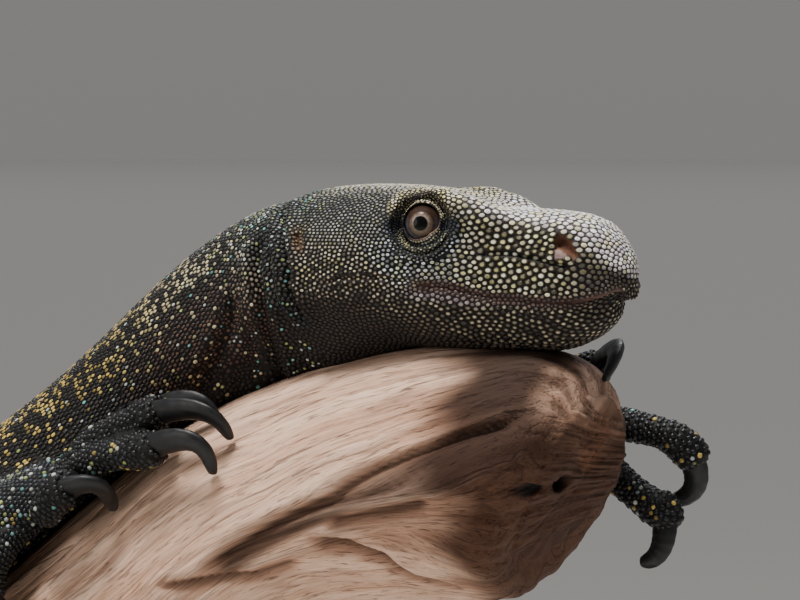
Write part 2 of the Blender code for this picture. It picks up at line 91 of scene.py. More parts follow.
# The branch's axis from its upper end, told from the snout.
BRANCH = np.array([
    (-0.016, 0, -0.0573), (-0.080, 0, -0.0610), (-0.124, 0, -0.0730), (-0.153, 0, -0.0885),
    (-0.182, 0, -0.1110), (-0.218, 0, -0.1385), (-0.300, 0, -0.2010), (-0.400, 0, -0.2690),
    (-0.500, 0, -0.3290), (-0.600, 0, -0.3810), (-0.680, 0, -0.4190)])
BRANCH_RADIUS = ((0.00, 0.08, 0.20, 0.45, 0.80), (0.0395, 0.0430, 0.0480, 0.0510, 0.0530))
END_SLANT, END_ROUND = 0.028, 0.018        # how far the end is cut back below, and how long it is rounded
SLANT_LENGTH = 0.13                        # how far along the branch the slant is taken up
# Swellings and hollows of the head: distance from the snout, degrees from the crown, height, reach along
# the head in metres and round it in degrees.
HEAD_RELIEF = (
    (0.0655, 40, 0.0034, 0.0090, 11), (0.0500, 46, 0.0014, 0.0100, 10), (0.0640, 0, -0.0016, 0.0120, 16),
    (0.0550, 74, -0.0014, 0.0070, 13), (0.0920, 58, 0.0008, 0.0110, 20), (0.1000, 108, 0.0016, 0.0120, 22),
    (0.0170, 52, 0.0010, 0.0090, 22), (0.1255, 80, -0.0018, 0.0040, 45))
# Radii along each length of a leg.
FORE = dict(
    upper=(0.0235, 0.0215, 0.0165), lower=(0.0165, 0.0178, 0.0135, 0.0112), foot=(0.0112, 0.0140, 0.0135))
HIND = dict(
    upper=(0.0330, 0.0300, 0.0205), lower=(0.0205, 0.0225, 0.0160, 0.0125), foot=(0.0125, 0.0155, 0.0150))
# Root: place on the body. Joint: elbow or knee, from the snout. Wrist, palm and digits: places over the
# branch, as distance from its upper end, degrees from its top and height. A digit is its last knuckle, the
# claw's bend and its tip, with the middle knuckle first where it is told, or its turn and length.
LIMBS = {
    "foreleg_right": dict(
        FORE, root=(0.292, -104), joint=(-0.238, -0.108, -0.122),
        wrist=(0.201, -36, 0.021), palm=(0.178, -33, 0.014),
        digits=(((0.1360, -28, 0.011), (0.1170, -31, 0.014), (0.1180, -34, 0.000)),
                ((0.1265, -40, 0.015), (0.1070, -47, 0.017), (0.1113, -51, 0.000)),
                ((0.1285, -52, 0.013), (0.1080, -57, 0.017), (0.1175, -65, 0.000)),
                ((0.1690, -50, 0.017), (0.1565, -52, 0.020), (0.1420, -57, 0.020), (0.1555, -51, 0.001)),
                ((0.2070, -62, 0.012), (0.2100, -76, 0.013), (0.2120, -82, 0.000)))),
    "foreleg_left": dict(
        FORE, root=(0.268, 100), joint=(-0.168, 0.100, -0.084),
        wrist=(0.077, 70, 0.021), palm=(0.053, 66, 0.015),
        digits=(((0.0318, 48, 0.006), (0.0153, 39, 0.005), (-0.0042, 23, 0.010), (0.0008, 17, -0.010)),
                ((0.0048, 77, 0.0160), (-0.0082, 88, 0.021), (-0.0137, 99, 0.026), (0.0003, 101, 0.023)),
                ((0.0005, 102, 0.0105), (-0.0090, 110, 0.0120), (-0.0140, 123, 0.015),
                 (-0.0045, 123, 0.015)),
                ((0.0450, 112, 0.012), (0.0350, 124, 0.013), (0.0400, 128, 0.000)),
                ((0.0690, 106, 0.012), (0.0710, 120, 0.014), (0.0730, 125, 0.000)))),
    "hindleg_right": dict(
        HIND, root=(0.668, -104), joint=(-0.523, -0.128, -0.255),
        wrist=(0.530, -66, 0.021), palm=(0.500, -64, 0.015),
        digits=((-38, 0.026), (-17, 0.038), (0, 0.048), (18, 0.054), (64, 0.036))),
    "hindleg_left": dict(
        HIND, root=(0.668, 104), joint=(-0.560, 0.130, -0.268),
        wrist=(0.580, 68, 0.021), palm=(0.552, 66, 0.015),
        digits=((-38, 0.026), (-17, 0.038), (0, 0.048), (18, 0.054), (64, 0.036)))}
KNUCKLE, CLAW_REACH = 0.013, 0.0150        # height of a knuckle over the branch, and a claw's reach past it
CLASP_RADIUS = 0.058                       # at which hind digits' turns over the branch are laid flat
DIGIT_THICK = 0.36                         # a digit's radius, as a share of its foot's
DIGIT_SWELL = np.array([1.25, 1.06, 0.98, 1.06, 0.95, 1.02, 0.90])
FOOT_FLAT = 0.72                           # height of a foot's section, as a share of its width
ROUND_REACH = 0.97                         # how much of its end radius a round end goes on for
CLAW_HIGH, CLAW_WIDE = 0.0040, 0.0024
CLAW_RINGS, CLAW_AROUND, CLAW_LENGTH = 44, 32, 0.022


def unit(v):
    """Vectors of the same direction and a length of 1."""
    return v / np.maximum(np.linalg.norm(v, axis=-1, keepdims=True), 1e-12)


def smooth(x, xs, ys):
    """Monotone cubic through a table, so a profile never overshoots between its stations."""
    xs, ys = np.asarray(xs, float), np.asarray(ys, float)
    h, d = np.diff(xs), np.diff(ys) / np.diff(xs)
    m = np.zeros_like(ys)
    m[0], m[-1] = d[0], d[-1]
    same = d[:-1] * d[1:] > 0
    mean = 2 * d[:-1] * d[1:] / np.where(same, d[:-1] + d[1:], 1)
    m[1:-1] = np.where(same, mean, 0)
    x = np.clip(np.asarray(x, float), xs[0], xs[-1])
    i = np.clip(np.searchsorted(xs, x, "right") - 1, 0, len(h) - 1)
    t = (x - xs[i]) / h[i]
    return ((1 + 2 * t) * (1 - t) ** 2 * ys[i] + t * (1 - t) ** 2 * h[i] * m[i]
            + t * t * (3 - 2 * t) * ys[i + 1] + t * t * (t - 1) * h[i] * m[i + 1])


def dots(a, b):
    """The products of two lists of vectors, row by row."""
    return np.einsum("ij,ij->i", a, b)


def turns(count):
    """Angles that share a full turn evenly."""
    return np.linspace(0, 2 * math.pi, count, endpoint=False)


def distances(line):
    """Distance along a polyline at each of its points."""
    return np.concatenate([[0], np.cumsum(np.linalg.norm(np.diff(line, axis=0), axis=1))])


def step(x, low, high):
    """0 below low and 1 above high, with a smooth rise between."""
    t = np.clip((x - low) / (high - low), 0, 1)
    return t * t * (3 - 2 * t)


class Path:
    """A smooth curve through points, read by distance, and run on straight past its ends."""

    def __init__(self, points, steps=24):
        p = np.asarray(points, float)
        ends = np.vstack([2 * p[0] - p[1], p, 2 * p[-1] - p[-2]])
        t = np.linspace(0, 1, steps, endpoint=False)[:, None]
        rows = [0.5 * (2 * b + (c - a) * t + (2 * a - 5 * b + 4 * c - d) * t ** 2
                       + (3 * b - a - 3 * c + d) * t ** 3)
                for a, b, c, d in zip(ends, ends[1:], ends[2:], ends[3:])]
        self.p = np.vstack(rows + [p[-1:]])
        self.s = distances(self.p)
        self.length = self.s[-1]

    def at(self, s):
        s = np.asarray(s, float)
        inside = np.stack([np.interp(s, self.s, self.p[:, k]) for k in range(3)], -1)
        before, after = np.minimum(s, 0)[..., None], np.maximum(s - self.length, 0)[..., None]
        return inside + before * unit(self.p[1] - self.p[0]) + after * unit(self.p[-1] - self.p[-2])

    def tangent(self, s, reach=0.002):
        return unit(self.at(np.asarray(s) + reach) - self.at(np.asarray(s) - reach))


def spine_points():
    """The spine's own points, then the tail's half turn and run along the plate, at its radius."""
    plate_top = PLATE_TOP - SNOUT[2]
    points = [tuple(p) for p in SPINE]
    start = Path(points).length
    pieces, straight = 12, 4
    flat = []
    for angle in np.linspace(0, math.pi, pieces + 1)[1:]:
        flat.append((TAIL_TURN * angle, -math.sin(angle) * TAIL_TURN, (1 - math.cos(angle)) * TAIL_TURN))
    run = TOTAL - start - TAIL_TURN * math.pi
    x, y = flat[-1][1], flat[-1][2]
    for k in range(1, pieces + 1):
        bend = TAIL_TIP_BEND * max(0, k - straight) / (pieces - straight)
        x, y = x + run / pieces * math.cos(bend), y - run / pieces * math.sin(bend)
        flat.append((TAIL_TURN * math.pi + run * k / pieces, x, y))
    for far, x, y in flat:
        depth = smooth(start + far, BODY[:, 0], BODY[:, 3])
        points.append((SPINE[-1][0] - TURN_START + x, y, plate_top + 2 * GAP + depth))
    return np.array(points) + SNOUT


SPINE_PATH = Path(spine_points())
BRANCH_PATH = Path(BRANCH + SNOUT)


def frame_of(path, s):
    """Place, forward, left and up on a path that runs away from the head."""
    forward = -path.tangent(s)
    left = unit(np.cross([0.0, 0.0, 1.0], forward))
    return path.at(s), forward, left, np.cross(forward, left)


def outwards(left, up, angle):
    """Directions at angles from up towards the left."""
    return left * np.sin(angle)[..., None] + up * np.cos(angle)[..., None]


def off_path(path, points, s):
    """How far points lie ahead, left and above a path's places, and which way left and up are there."""
    place, forward, left, up = frame_of(path, s)
    off = points - place
    return dots(off, forward), dots(off, left), dots(off, up), left, up


def squareness(s):
    """Exponents of the section's upper and lower halves: 2 is an ellipse, more is boxier."""
    places = (0, 0.03, 0.10, 0.16, 0.30, 0.73, 0.9)
    upper = smooth(s, places, (2.3, 2.7, 2.6, 2.15, 2.2, 2.2, 2.0))
    lower = smooth(s, places, (2.2, 2.4, 2.3, 2.1, 2.3, 2.3, 2.0))
    return upper, lower


def relief(s, angle):
    """How far the head stands out from its plain loft."""
    degrees = np.abs(np.degrees((angle + math.pi) % (2 * math.pi) - math.pi))
    return sum(h * np.exp(-((s - s0) / along) ** 2 / 2 - ((degrees - a0) / round_it) ** 2 / 2)
               for s0, a0, h, along, round_it in HEAD_RELIEF)


def body_point(s, angle, grow=0.0):
    """A point on the body: distance from the snout, and angle from the back towards the left."""
    s, angle = np.asarray(s, float), np.asarray(angle, float)
    grow = grow + relief(s, angle)
    place, forward, left, up = frame_of(SPINE_PATH, s)
    wide, high, deep = (smooth(s, BODY[:, 0], BODY[:, k]) + grow for k in (1, 2, 3))
    upper, lower = squareness(s)
    c, sn = np.cos(angle), np.sin(angle)
    power = 2 / np.where(c > 0, upper, lower)
    across = wide * np.sign(sn) * np.abs(sn) ** power
    rise = np.where(c > 0, high, deep) * np.sign(c) * np.abs(c) ** power
    chin = CHIN_SETBACK * np.clip((-0.004 - rise) / 0.006, 0, 1) * np.clip(1 - s / 0.03, 0, 1)
    return place + left * across[..., None] + up * rise[..., None] - forward * chin[..., None]


def body_place(points, s):
    """Distance from the snout and angle from the back of points near the body, from a first guess of s."""
    for _ in range(2):
        ahead, *_ = off_path(SPINE_PATH, points, s)
        s = np.clip(s - ahead, 0, TOTAL)
    _, across, rise, *_ = off_path(SPINE_PATH, points, s)
    wide, high, deep = (smooth(s, BODY[:, 0], BODY[:, k]) for k in (1, 2, 3))
    upper, lower = squareness(s)
    power = np.where(rise > 0, upper, lower) / 2
    sine = np.sign(across) * (np.abs(across) / wide) ** power
    cosine = np.sign(rise) * (np.abs(rise) / np.where(rise > 0, high, deep)) ** power
    return s, np.arctan2(sine, cosine)


def branch_radius(s, angle):
    """The branch's plain radius: slowly lumpy, and drawn in at its rounded upper end."""
    lumps = (0.030 * np.cos(2 * angle + 0.6 + 5 * s) + 0.025 * np.sin(3 * angle + 11 * s)
             + 0.012 * np.sin(31 * s))
    end = np.clip(s / END_ROUND, 0, 1)
    rounding = 0.70 + 0.30 * np.sqrt(1 - (1 - end) ** 2)
    return smooth(s, *BRANCH_RADIUS) * (1 + lumps) * rounding


def branch_place(s, angle):
    """Axis place for a point over the branch, whose upper end is cut back towards its underside."""
    under = (1 - np.cos(angle)) / 2
    return s + END_SLANT * under ** 2 * np.clip(1 - s / SLANT_LENGTH, 0, 1) ** 2


def branch_point(s, angle, height=0.0):
    """A point over the branch: distance from its upper end, angle from the top towards the left."""
    place, _, left, up = frame_of(BRANCH_PATH, branch_place(s, angle))
    radius = branch_radius(np.maximum(s, END_ROUND), angle)
    return place + outwards(left, up, angle) * (radius + height)[..., None]


def over_branch(s, degrees, height):
    """One point over the branch, its angle in degrees."""
    return branch_point(np.array(s, float), np.array(math.radians(degrees)), height)


def near_branch(points):
    """How far points lie outside the branch's plain surface, and which way is out."""
    s = np.interp(points[:, 0], BRANCH_PATH.p[::-1, 0], BRANCH_PATH.s[::-1])
    for _ in range(3):
        ahead, *_ = off_path(BRANCH_PATH, points, s)
        s = np.clip(s - ahead, -0.05, BRANCH_PATH.length)
    ahead, across, rise, left, up = off_path(BRANCH_PATH, points, s)
    angle = np.arctan2(across, rise)
    own = s.copy()
    for _ in range(8):
        own = s - (branch_place(own, angle) - own)
    outside = np.hypot(across, rise) - branch_radius(np.maximum(own, 0.0), angle)
    past = np.maximum(-own, 0) + np.maximum(-ahead, 0)
    outside = np.where(past > 1e-4, np.hypot(np.maximum(outside, 0), past), outside)
    return outside, outwards(left, up, angle)


# ---- mesh tools ------------------------------------------------------------------------------
def add_mesh(name, verts, faces, material):
    """A smooth mesh object from arrays: faces is a list of index arrays, one for each count of corners."""
    faces = [np.asarray(f) for f in faces if len(f)]
    corners = np.concatenate([f.ravel() for f in faces])
    totals = np.concatenate([np.full(len(f), f.shape[1]) for f in faces])
    mesh = bpy.data.meshes.new(name)
    mesh.vertices.add(len(verts))
    mesh.vertices.foreach_set("co", np.asarray(verts, np.float32).ravel())
    mesh.loops.add(len(corners))
    mesh.loops.foreach_set("vertex_index", corners.astype(np.int32))
    mesh.polygons.add(len(totals))
    mesh.polygons.foreach_set("loop_start", (np.cumsum(totals) - totals).astype(np.int32))
    mesh.update(calc_edges=True)
    mesh.validate()
    mesh.shade_smooth()
    mesh.materials.append(material)
    obj = bpy.data.objects.new(name, mesh)
    bpy.context.scene.collection.objects.link(obj)
    return obj


def band(rings):
    """Points, quads and end triangles of a closed solid through rings."""
    count, around = rings.shape[:2]
    points = np.vstack([rings.reshape(-1, 3), rings[0].mean(0), rings[-1].mean(0)])
    j = np.arange(around)
    k = (j + 1) % around
    quads = np.stack([j, k, k + around, j + around], -1) + np.arange(count - 1)[:, None, None] * around
    start = np.stack([k, j, np.full(around, count * around)], -1)
    top = (count - 1) * around
    end = np.stack([j + top, k + top, np.full(around, count * around + 1)], -1)
    return points, quads.reshape(-1, 4), np.vstack([start, end])


def join(parts):
    """Several bands as one set of points, quads and triangles."""
    base, points, quads, triangles = 0, [], [], []
    for p, q, t in parts:
        points.append(p)
        quads.append(q + base)
        triangles.append(t + base)
        base += len(p)
    return np.vstack(points), np.vstack(quads), np.vstack(triangles)


def read(items, word, width=3, kind=np.float32):
    """One property of a mesh's points, edges, faces or corners, a row for each."""
    values = np.empty(len(items) * width, kind)
    items.foreach_get(word, values)
    values = values.reshape(-1, width)
    return values.astype(float) if kind is np.float32 else values


def write_mesh(mesh, points):
    """Moves a mesh's points."""
    mesh.vertices.foreach_set("co", points.astype(np.float32).ravel())
    mesh.update()


def tree_of(points):
    """A tree that finds the nearest of points."""
    tree = KDTree(len(points))
    for i, p in enumerate(points.tolist()):
        tree.insert(p, i)
    tree.balance()
    return tree


def relaxed(points, edges, weight, rounds):
    """Laplacian smoothing by a weight for each point."""
    count = np.maximum(np.bincount(edges.ravel(), minlength=len(points)), 1)[:, None]
    for _ in range(rounds):
        total = np.zeros_like(points)
        for k in range(3):
            total[:, k] = (np.bincount(edges[:, 0], points[edges[:, 1], k], len(points))
                           + np.bincount(edges[:, 1], points[edges[:, 0], k], len(points)))
        points = points + (total / count - points) * 0.6 * weight[:, None]
    return points


def to_line(points, line):
    """Distance of points from a polyline, the share of it passed, and the nearest place on it."""
    line = np.asarray(line)
    far = distances(line)
    best = np.full(len(points), 1e9)
    share, near = np.zeros(len(points)), np.zeros((len(points), 3))
    for k in range(len(line) - 1):
        along = line[k + 1] - line[k]
        t = np.clip((points - line[k]) @ along / (along @ along), 0, 1)
        place = line[k] + t[:, None] * along
        gap = np.linalg.norm(points - place, axis=1)
        closer = gap < best
        best[closer], near[closer] = gap[closer], place[closer]
        share[closer] = ((far[k] + t * (far[k + 1] - far[k])) / far[-1])[closer]
    return best, share, near


# ---- limbs -----------------------------------------------------------------------------------
def carried(forward, up=None):
    """An up direction carried along a path without twist."""
    if up is None:
        up = np.array([0.0, 0.0, 1.0]) if abs(forward[0][2]) < 0.85 else np.array([1.0, 0.0, 0.0])
    ups = [up]
    for f in forward:
        ups.append(unit(ups[-1] - f * (ups[-1] @ f)))
    return np.array(ups[1:])


class Tube:
    """A round-ended length of limb, read by distance along it and angle round it."""

    def __init__(self, points, radii, flat=1.0, up=None, round_end=True):
        self.path, self.radii, self.flat = Path(points), radii, flat
        self.low = -ROUND_REACH * radii[0]
        self.high = self.path.length + (ROUND_REACH * radii[-1] if round_end else 0.0)
        self.knots = np.linspace(self.low, self.high, 60)
        forward = self.path.tangent(self.knots, 0.004)
        self.side = unit(np.cross(forward, carried(forward, up)))
        self.rise = np.cross(self.side, forward)

    def radius(self, s):
        length = self.path.length
        plain = smooth(s, np.linspace(0, length, len(self.radii)), self.radii)
        past = np.maximum(np.maximum(-s, s - length), 0) / plain
        return plain * np.sqrt(np.maximum(1 - past ** 2, 0.0))

    def point(self, s, angle, grow=0.0):
        side, rise = (np.stack([np.interp(s, self.knots, v[:, k]) for k in range(3)], -1)
                      for v in (self.side, self.rise))
        ring = side * np.cos(angle)[..., None] + rise * (np.sin(angle) * self.flat)[..., None]
        return self.path.at(s) + ring * (self.radius(s) + grow)[..., None]

    def band(self, around, pitch, grow):
        s = np.linspace(self.low, self.high, max(8, int((self.high - self.low) / pitch)))
        s, angle = np.meshgrid(s, turns(around), indexing="ij")
        return band(self.point(s, angle, grow))


def digit_places(palm, digit):
    """A digit's middle and last knuckles and its claw's bend and tip, over the branch."""
    if len(digit) == 4:
        return digit
    if len(digit) == 2:
        turn, length = math.radians(digit[0]), digit[1]
        s, degrees, _ = palm
        around = math.copysign(1, degrees) * math.degrees(math.sin(turn) / CLASP_RADIUS)
        along = math.cos(turn)
        far = length + CLAW_REACH
        digit = ((s - along * length, degrees + around * length, KNUCKLE),
                 (s - along * far, degrees + around * far, KNUCKLE),
                 (s - along * far, degrees + around * far, 0.0))
    middle = np.array(palm) * 0.42 + np.array(digit[0]) * 0.58 + (0, 0, KNUCKLE * 0.2)
    return (tuple(middle), *digit)


def limb_tubes(limb):
    """A leg's upper and lower lengths, its foot and its digits."""
    s, degrees = limb["root"]
    side = body_point(s, math.radians(degrees))
    inner = SPINE_PATH.at(s) * 0.45 + side * 0.55
    joint = np.array(limb["joint"]) + SNOUT
    wrist, palm = (over_branch(*limb[k]) for k in ("wrist", "palm"))
    outward = unit(palm - over_branch(*limb["palm"][:2], -0.01))
    tubes = [Tube([inner, side * 0.6 + joint * 0.4, joint], limb["upper"]),
             Tube([joint, joint * 0.5 + wrist * 0.5, wrist], limb["lower"]),
             Tube([wrist, palm], limb["foot"], FOOT_FLAT, outward)]
    thick = limb["foot"][-1] * DIGIT_THICK
    for digit in limb["digits"]:
        middle, knuckle, bend, _ = digit_places(limb["palm"], digit)
        root = np.array(limb["palm"]) * (0.82, 0.82, 0.62) + np.array(middle) * 0.18
        points = [over_branch(*k) for k in (root, middle, knuckle)]
        points.insert(2, points[2] + unit(points[2] - over_branch(*bend)) * 0.004)
        tubes.append(Tube(points, thick * DIGIT_SWELL, up=outward, round_end=False))
    return tubes


TUBES = {name: limb_tubes(limb) for name, limb in LIMBS.items()}
ALL_TUBES = [tube for tubes in TUBES.values() for tube in tubes]
# Part 0 is the body, and each tube is one more: the limb it is on, and its number there.
LIMB_OF_PART = np.array(["body"] + [name for name, tubes in TUBES.items() for _ in tubes])
TUBE_OF_PART = np.array([0] + [k for tubes in TUBES.values() for k in range(len(tubes))])

# ---- skin ------------------------------------------------------------------------------------
VOXEL = 0.0030                             # of the remesh that merges body and limbs
BODY_AROUND, LEG_AROUND, DIGIT_AROUND = 144, 40, 24  # points round each part before that
LEG_PITCH, DIGIT_PITCH = 0.002, 0.0012     # between the rings of the limbs
HEAD_CUTS, FOOT_CUTS = 3, 1                # subdivisions of the skin's faces over the head and the feet
HEAD_REACH = 0.138                         # how far back the fine skin goes
NECK_SCALES_END = 0.30                     # how far back the neck's own scales go
SWELL, THINNEST = 0.0005, 0.0032           # extra thickness and least radius while the parts are merged


def body_stations():
    """Distances from the snout at which the body is read, closest together on the head."""
    fine = np.concatenate([[0.0, 0.0007, 0.0015, 0.0027], np.arange(0.004, 0.15, 0.001)])
    return np.concatenate([fine, np.arange(0.15, SVL, 0.003), np.arange(SVL, TOTAL, 0.005), [TOTAL]])


def body_depth(s):
    """How deep the skin lies, less towards the tail's thin tip."""
    return COAT * (1 - 0.6 * step(s, 1.7, TOTAL))


def flesh_bands(swell):
    """The body and each length of limb as closed bands, at the skin's depth and swollen by an amount."""
    s, angle = np.meshgrid(body_stations(), turns(BODY_AROUND), indexing="ij")
    thin = np.maximum(THINNEST - smooth(s, BODY[:, 0], BODY[:, 1]), 0) * (s > 1) * (swell > 0)
    parts = [band(body_point(s, angle, swell - body_depth(s) + thin))]
    for tubes in TUBES.values():
        for k, tube in enumerate(tubes):
            around, pitch = (LEG_AROUND, LEG_PITCH) if k < 3 else (DIGIT_AROUND, DIGIT_PITCH)
            parts.append(tube.band(around, pitch, swell - COAT))
    return parts


def merged_flesh():
    """Body and limbs merged into one even mesh."""
    points, quads, triangles = join(flesh_bands(SWELL))
    rough = add_mesh("flesh", points, [quads, triangles], bpy.data.materials["skin"])
    remesh = rough.modifiers.new("merge", "REMESH")
    remesh.mode, remesh.voxel_size, remesh.adaptivity = "VOXEL", VOXEL, 0.0
    mesh = bpy.data.meshes.new_from_object(rough.evaluated_get(bpy.context.evaluated_depsgraph_get()))
    bpy.data.objects.remove(rough)
    return mesh


class Surface:
    """The parts' own smooth surfaces: the nearest place on them, and which part that is."""

    def __init__(self):
        parts = flesh_bands(0.0)
        points, quads, triangles = join(parts)
        self.part = np.concatenate([np.repeat(np.arange(len(parts)), [len(p[1]) for p in parts]),
                                    np.repeat(np.arange(len(parts)), [len(p[2]) for p in parts])])
        self.tree = BVHTree.FromPolygons(points.tolist(), quads.tolist() + triangles.tolist())

    def nearest(self, points):
        place, part = np.empty_like(points), np.empty(len(points), int)
        for i, p in enumerate(points):
            co, _, face, _ = self.tree.find_nearest(p)
            place[i], part[i] = co, self.part[face]
        return place, part


def fine_faces(mesh, *choices):
    """Subdivides chosen faces of a mesh: each choice is a mask and its cuts."""
    bm = bmesh.new()
    bm.from_mesh(mesh)
    bm.faces.ensure_lookup_table()
    sets = []
    for chosen, cuts in choices:
        sets.append(({edge for i in np.flatnonzero(chosen) for edge in bm.faces[i].edges}, cuts))
    for edges, cuts in sets:
        bmesh.ops.subdivide_edges(bm, edges=list(edges), cuts=cuts, use_grid_fill=True)
    bm.to_mesh(mesh)
    bm.free()
    mesh.update()


def eye_centre(side):
    """The eyeball's centre on the right, -1, or left, 1."""
    x, y, z = EYE_PLACE
    return SNOUT + (x, side * y, z)


def joint_places():
    """Places where limbs meet the body or bend, and how far their skin is drawn smooth."""
    for limb in LIMBS.values():
        s, degrees = limb["root"]
        thick = limb["upper"][0]
        yield body_point(s, math.radians(degrees)), thick * 2.0, 26
        yield np.array(limb["joint"]) + SNOUT, thick * 1.1, 10
        yield over_branch(*limb["wrist"]), thick * 0.7, 6
        yield over_branch(*limb["palm"]), thick * 0.75, 4


# Lines on the head's side: distance from the snout and angle from the crown.
MOUTH = ((0.0720, 97), (0.0621, 97), (0.0541, 100), (0.0449, 103), (0.0313, 105), (0.0165, 108),
         (0.0117, 109), (0.0065, 107), (0.0030, 104))
# The mouth's line across the front, told from the snout.
MOUTH_FRONT = ((-0.0012, -0.0048, 0.0016), (-0.0006, -0.0020, -0.0002), (-0.0006, 0.0020, -0.0002),
               (-0.0012, 0.0048, 0.0016))
# More lines on the side, told as the first.
NOSTRIL = ((0.0212, 62), (0.0197, 64), (0.0180, 68), (0.0164, 72))
NOSTRIL_WIDE, NOSTRIL_DEEP = 0.0023, 0.0026
NOSTRIL_RIM = (0.0206, 74)                 # the middle of its pale lower rim
NOSTRIL_CREASE = ((0.0505, 78), (0.0409, 76), (0.0313, 78), (0.0241, 81), (0.0165, 82))
CHEEK_CREASE = ((0.0689, 96), (0.0745, 94), (0.0853, 92), (0.0961, 93), (0.1040, 97))
EAR = ((0.1130, 67), (0.1122, 73), (0.1114, 78))
JAW_FOLD = ((0.1236, 29), (0.1196, 57), (0.1180, 78), (0.1172, 89), (0.1174, 101), (0.1166, 118),
            (0.1150, 135))
NECK_FOLD = ((0.1280, 58), (0.1300, 73), (0.1320, 105), (0.1380, 139), (0.1420, 165))
GULAR_FOLD = ((0.1420, 88), (0.1480, 108), (0.1636, 127), (0.1764, 138), (0.1880, 160))
BROW_FRONT = (0.0525, 39)
FRONT_PIT = (0.0013, 82)
GAZE = (0.30, 0.95, 0.04)                  # forwards, outwards and up
# The lids' edge: turn about the gaze from the front upwards, in degrees, and distance from it in metres.
LIDS = ((-180, 0.0065), (-135, 0.0060), (-108, 0.0053), (-84, 0.0046), (-45, 0.0042), (-12, 0.0053),
        (20, 0.0058), (60, 0.0063), (90, 0.0065), (135, 0.0066), (180, 0.0065))
LID_RADIUS = 0.0079                        # of the lids, from the eye's centre
ORBIT_WIDE, ORBIT_OUT = 0.0125, 0.020      # how far round the gaze line, and out along it, the lids reach
# Rings of skin round the eye: distance from the gaze line, rise, width, and the turn each is strongest at.
ORBIT = ((0.0096, -0.0011, 0.0007, 85), (0.0120, 0.0008, 0.0014, 85), (0.0076, -0.0004, 0.0005, -90),
         (0.0089, 0.0006, 0.0006, -90), (0.0099, -0.0008, 0.0005, -90), (0.0111, 0.0009, 0.0007, -90),
         (0.0122, -0.0006, 0.0004, -90), (0.0130, 0.0005, 0.0005, -90), (0.0139, -0.0011, 0.0005, -80),
         (0.0095, -0.0013, 0.0020, 178), (0.0088, -0.0008, 0.0016, 0))


def side_line(line, side, depth=COAT):
    """A line's points on one side, at a depth under the tops of the scales."""
    s, degrees = np.array(line).T
    return body_point(s, np.radians(side * degrees), -depth)


def to_side(points, line, side, depth=COAT):
    """Distance of points from a line on one side, and the share of it passed."""
    gap, share, _ = to_line(points, side_line(line, side, depth))
    return gap, share


def line_gap(points, line):
    """Distance from the nearer of a line and its mirror image."""
    return np.minimum(*(to_side(points, line, side)[0] for side in (-1, 1)))


def spot_gap(points, spot, side):
    """Distance of points from a spot on one side."""
    return np.linalg.norm(points - body_point(spot[0], math.radians(side * spot[1])), axis=1)


def nostril_width(share):
    """Half width of the nostril at a share of its length."""
    return NOSTRIL_WIDE - 0.0011 * share


def mouth_line():
    """The line between the lips, from corner to corner."""
    return np.vstack([side_line(MOUTH, -1), SNOUT + MOUTH_FRONT, side_line(MOUTH, 1)[::-1]])


def bump(distance, width):
    """1 at no distance, and fading to nothing over a width or two."""
    return np.exp(-(distance / width) ** 2)


def along(share):
    """Fades a fold out at its two ends."""
    return step(share, 0, 0.12) * step(1 - share, 0, 0.12)


def from_corner(share):
    """0 at the corners of the mouth and 1 at its middle."""
    return 1 - np.abs(share - 0.5) * 2


def mouth_lift(points):
    """The lips: a groove between them, and a swollen edge behind the corner of the mouth."""
    gap, share, near = to_line(points, mouth_line())
    above = np.where(points[:, 2] > near[:, 2], gap, -gap)
    middle = from_corner(share)
    tip = step(middle, 0.62, 0.86)
    closed = step(middle, 0, 0.12)
    back = step(middle, 0.02, 0.12) * (1 - step(middle, 0.3, 0.5))
    lift = -0.0008 * bump(gap, 0.0006) * closed * (1 - tip)
    lift += (0.0003 + 0.0004 * tip) * bump(above - 0.0014, 0.0009)
    return lift + 0.0007 * back * bump(above + 0.0034, 0.0024)


def jaw_notch(points):
    """How far the lower jaw's front stands back under the lip."""
    gap, share, near = to_line(points, mouth_line())
    below = np.where(points[:, 2] < near[:, 2], gap, 0.0)
    tip = step(from_corner(share), 0.66, 0.84)
    return 0.0030 * tip * step(below, 0.0, 0.0011) * (1 - step(below, 0.0022, 0.0085))


def head_lift(points, s, degrees):
    """How far the head's skin rises or sinks at its folds, pits and ridges."""
    lift = mouth_lift(points)
    for side in (-1, 1):
        gap, share = to_side(points, NOSTRIL, side)
        wide = nostril_width(share)
        lift -= NOSTRIL_DEEP * step(wide - gap, -0.0007, 0.0012) * (1 - 0.4 * share)
        lift += 0.0003 * bump(gap - wide - 0.0009, 0.0009)
        lift += 0.0008 * bump(spot_gap(points, NOSTRIL_RIM, side), 0.0020) * step(gap, 0.0014, 0.0028)
        lift -= 0.0012 * bump(spot_gap(points, FRONT_PIT, side), 0.0013)
        for line, depth, width in ((NOSTRIL_CREASE, 0.0014, 0.0007), (CHEEK_CREASE, 0.0009, 0.0007),
                                   (EAR, 0.0016, 0.0016), (JAW_FOLD, 0.0044, 0.0021),
                                   (NECK_FOLD, 0.0024, 0.0020), (GULAR_FOLD, 0.0026, 0.0024)):
            gap, share = to_side(points, line, side)
            beside = 0.45 * bump(gap - 2.0 * width, width)
            lift += depth * (beside - bump(gap, width)) * along(share)
    far, turn = (s - BROW_FRONT[0]) / 0.0090, (np.abs(degrees) - BROW_FRONT[1]) / 15
    return lift + 0.0030 * np.exp(-far ** 2 - turn ** 2)


def eye_frame(side):
    """An eye's centre, its gaze, and the ways ahead and up across the gaze."""
    gaze = unit(np.array([GAZE[0], side * GAZE[1], GAZE[2]]))
    ahead = unit(np.cross([0, 0, 1.0], gaze)) * -side
    return eye_centre(side), gaze, ahead, np.cross(gaze, ahead) * -side


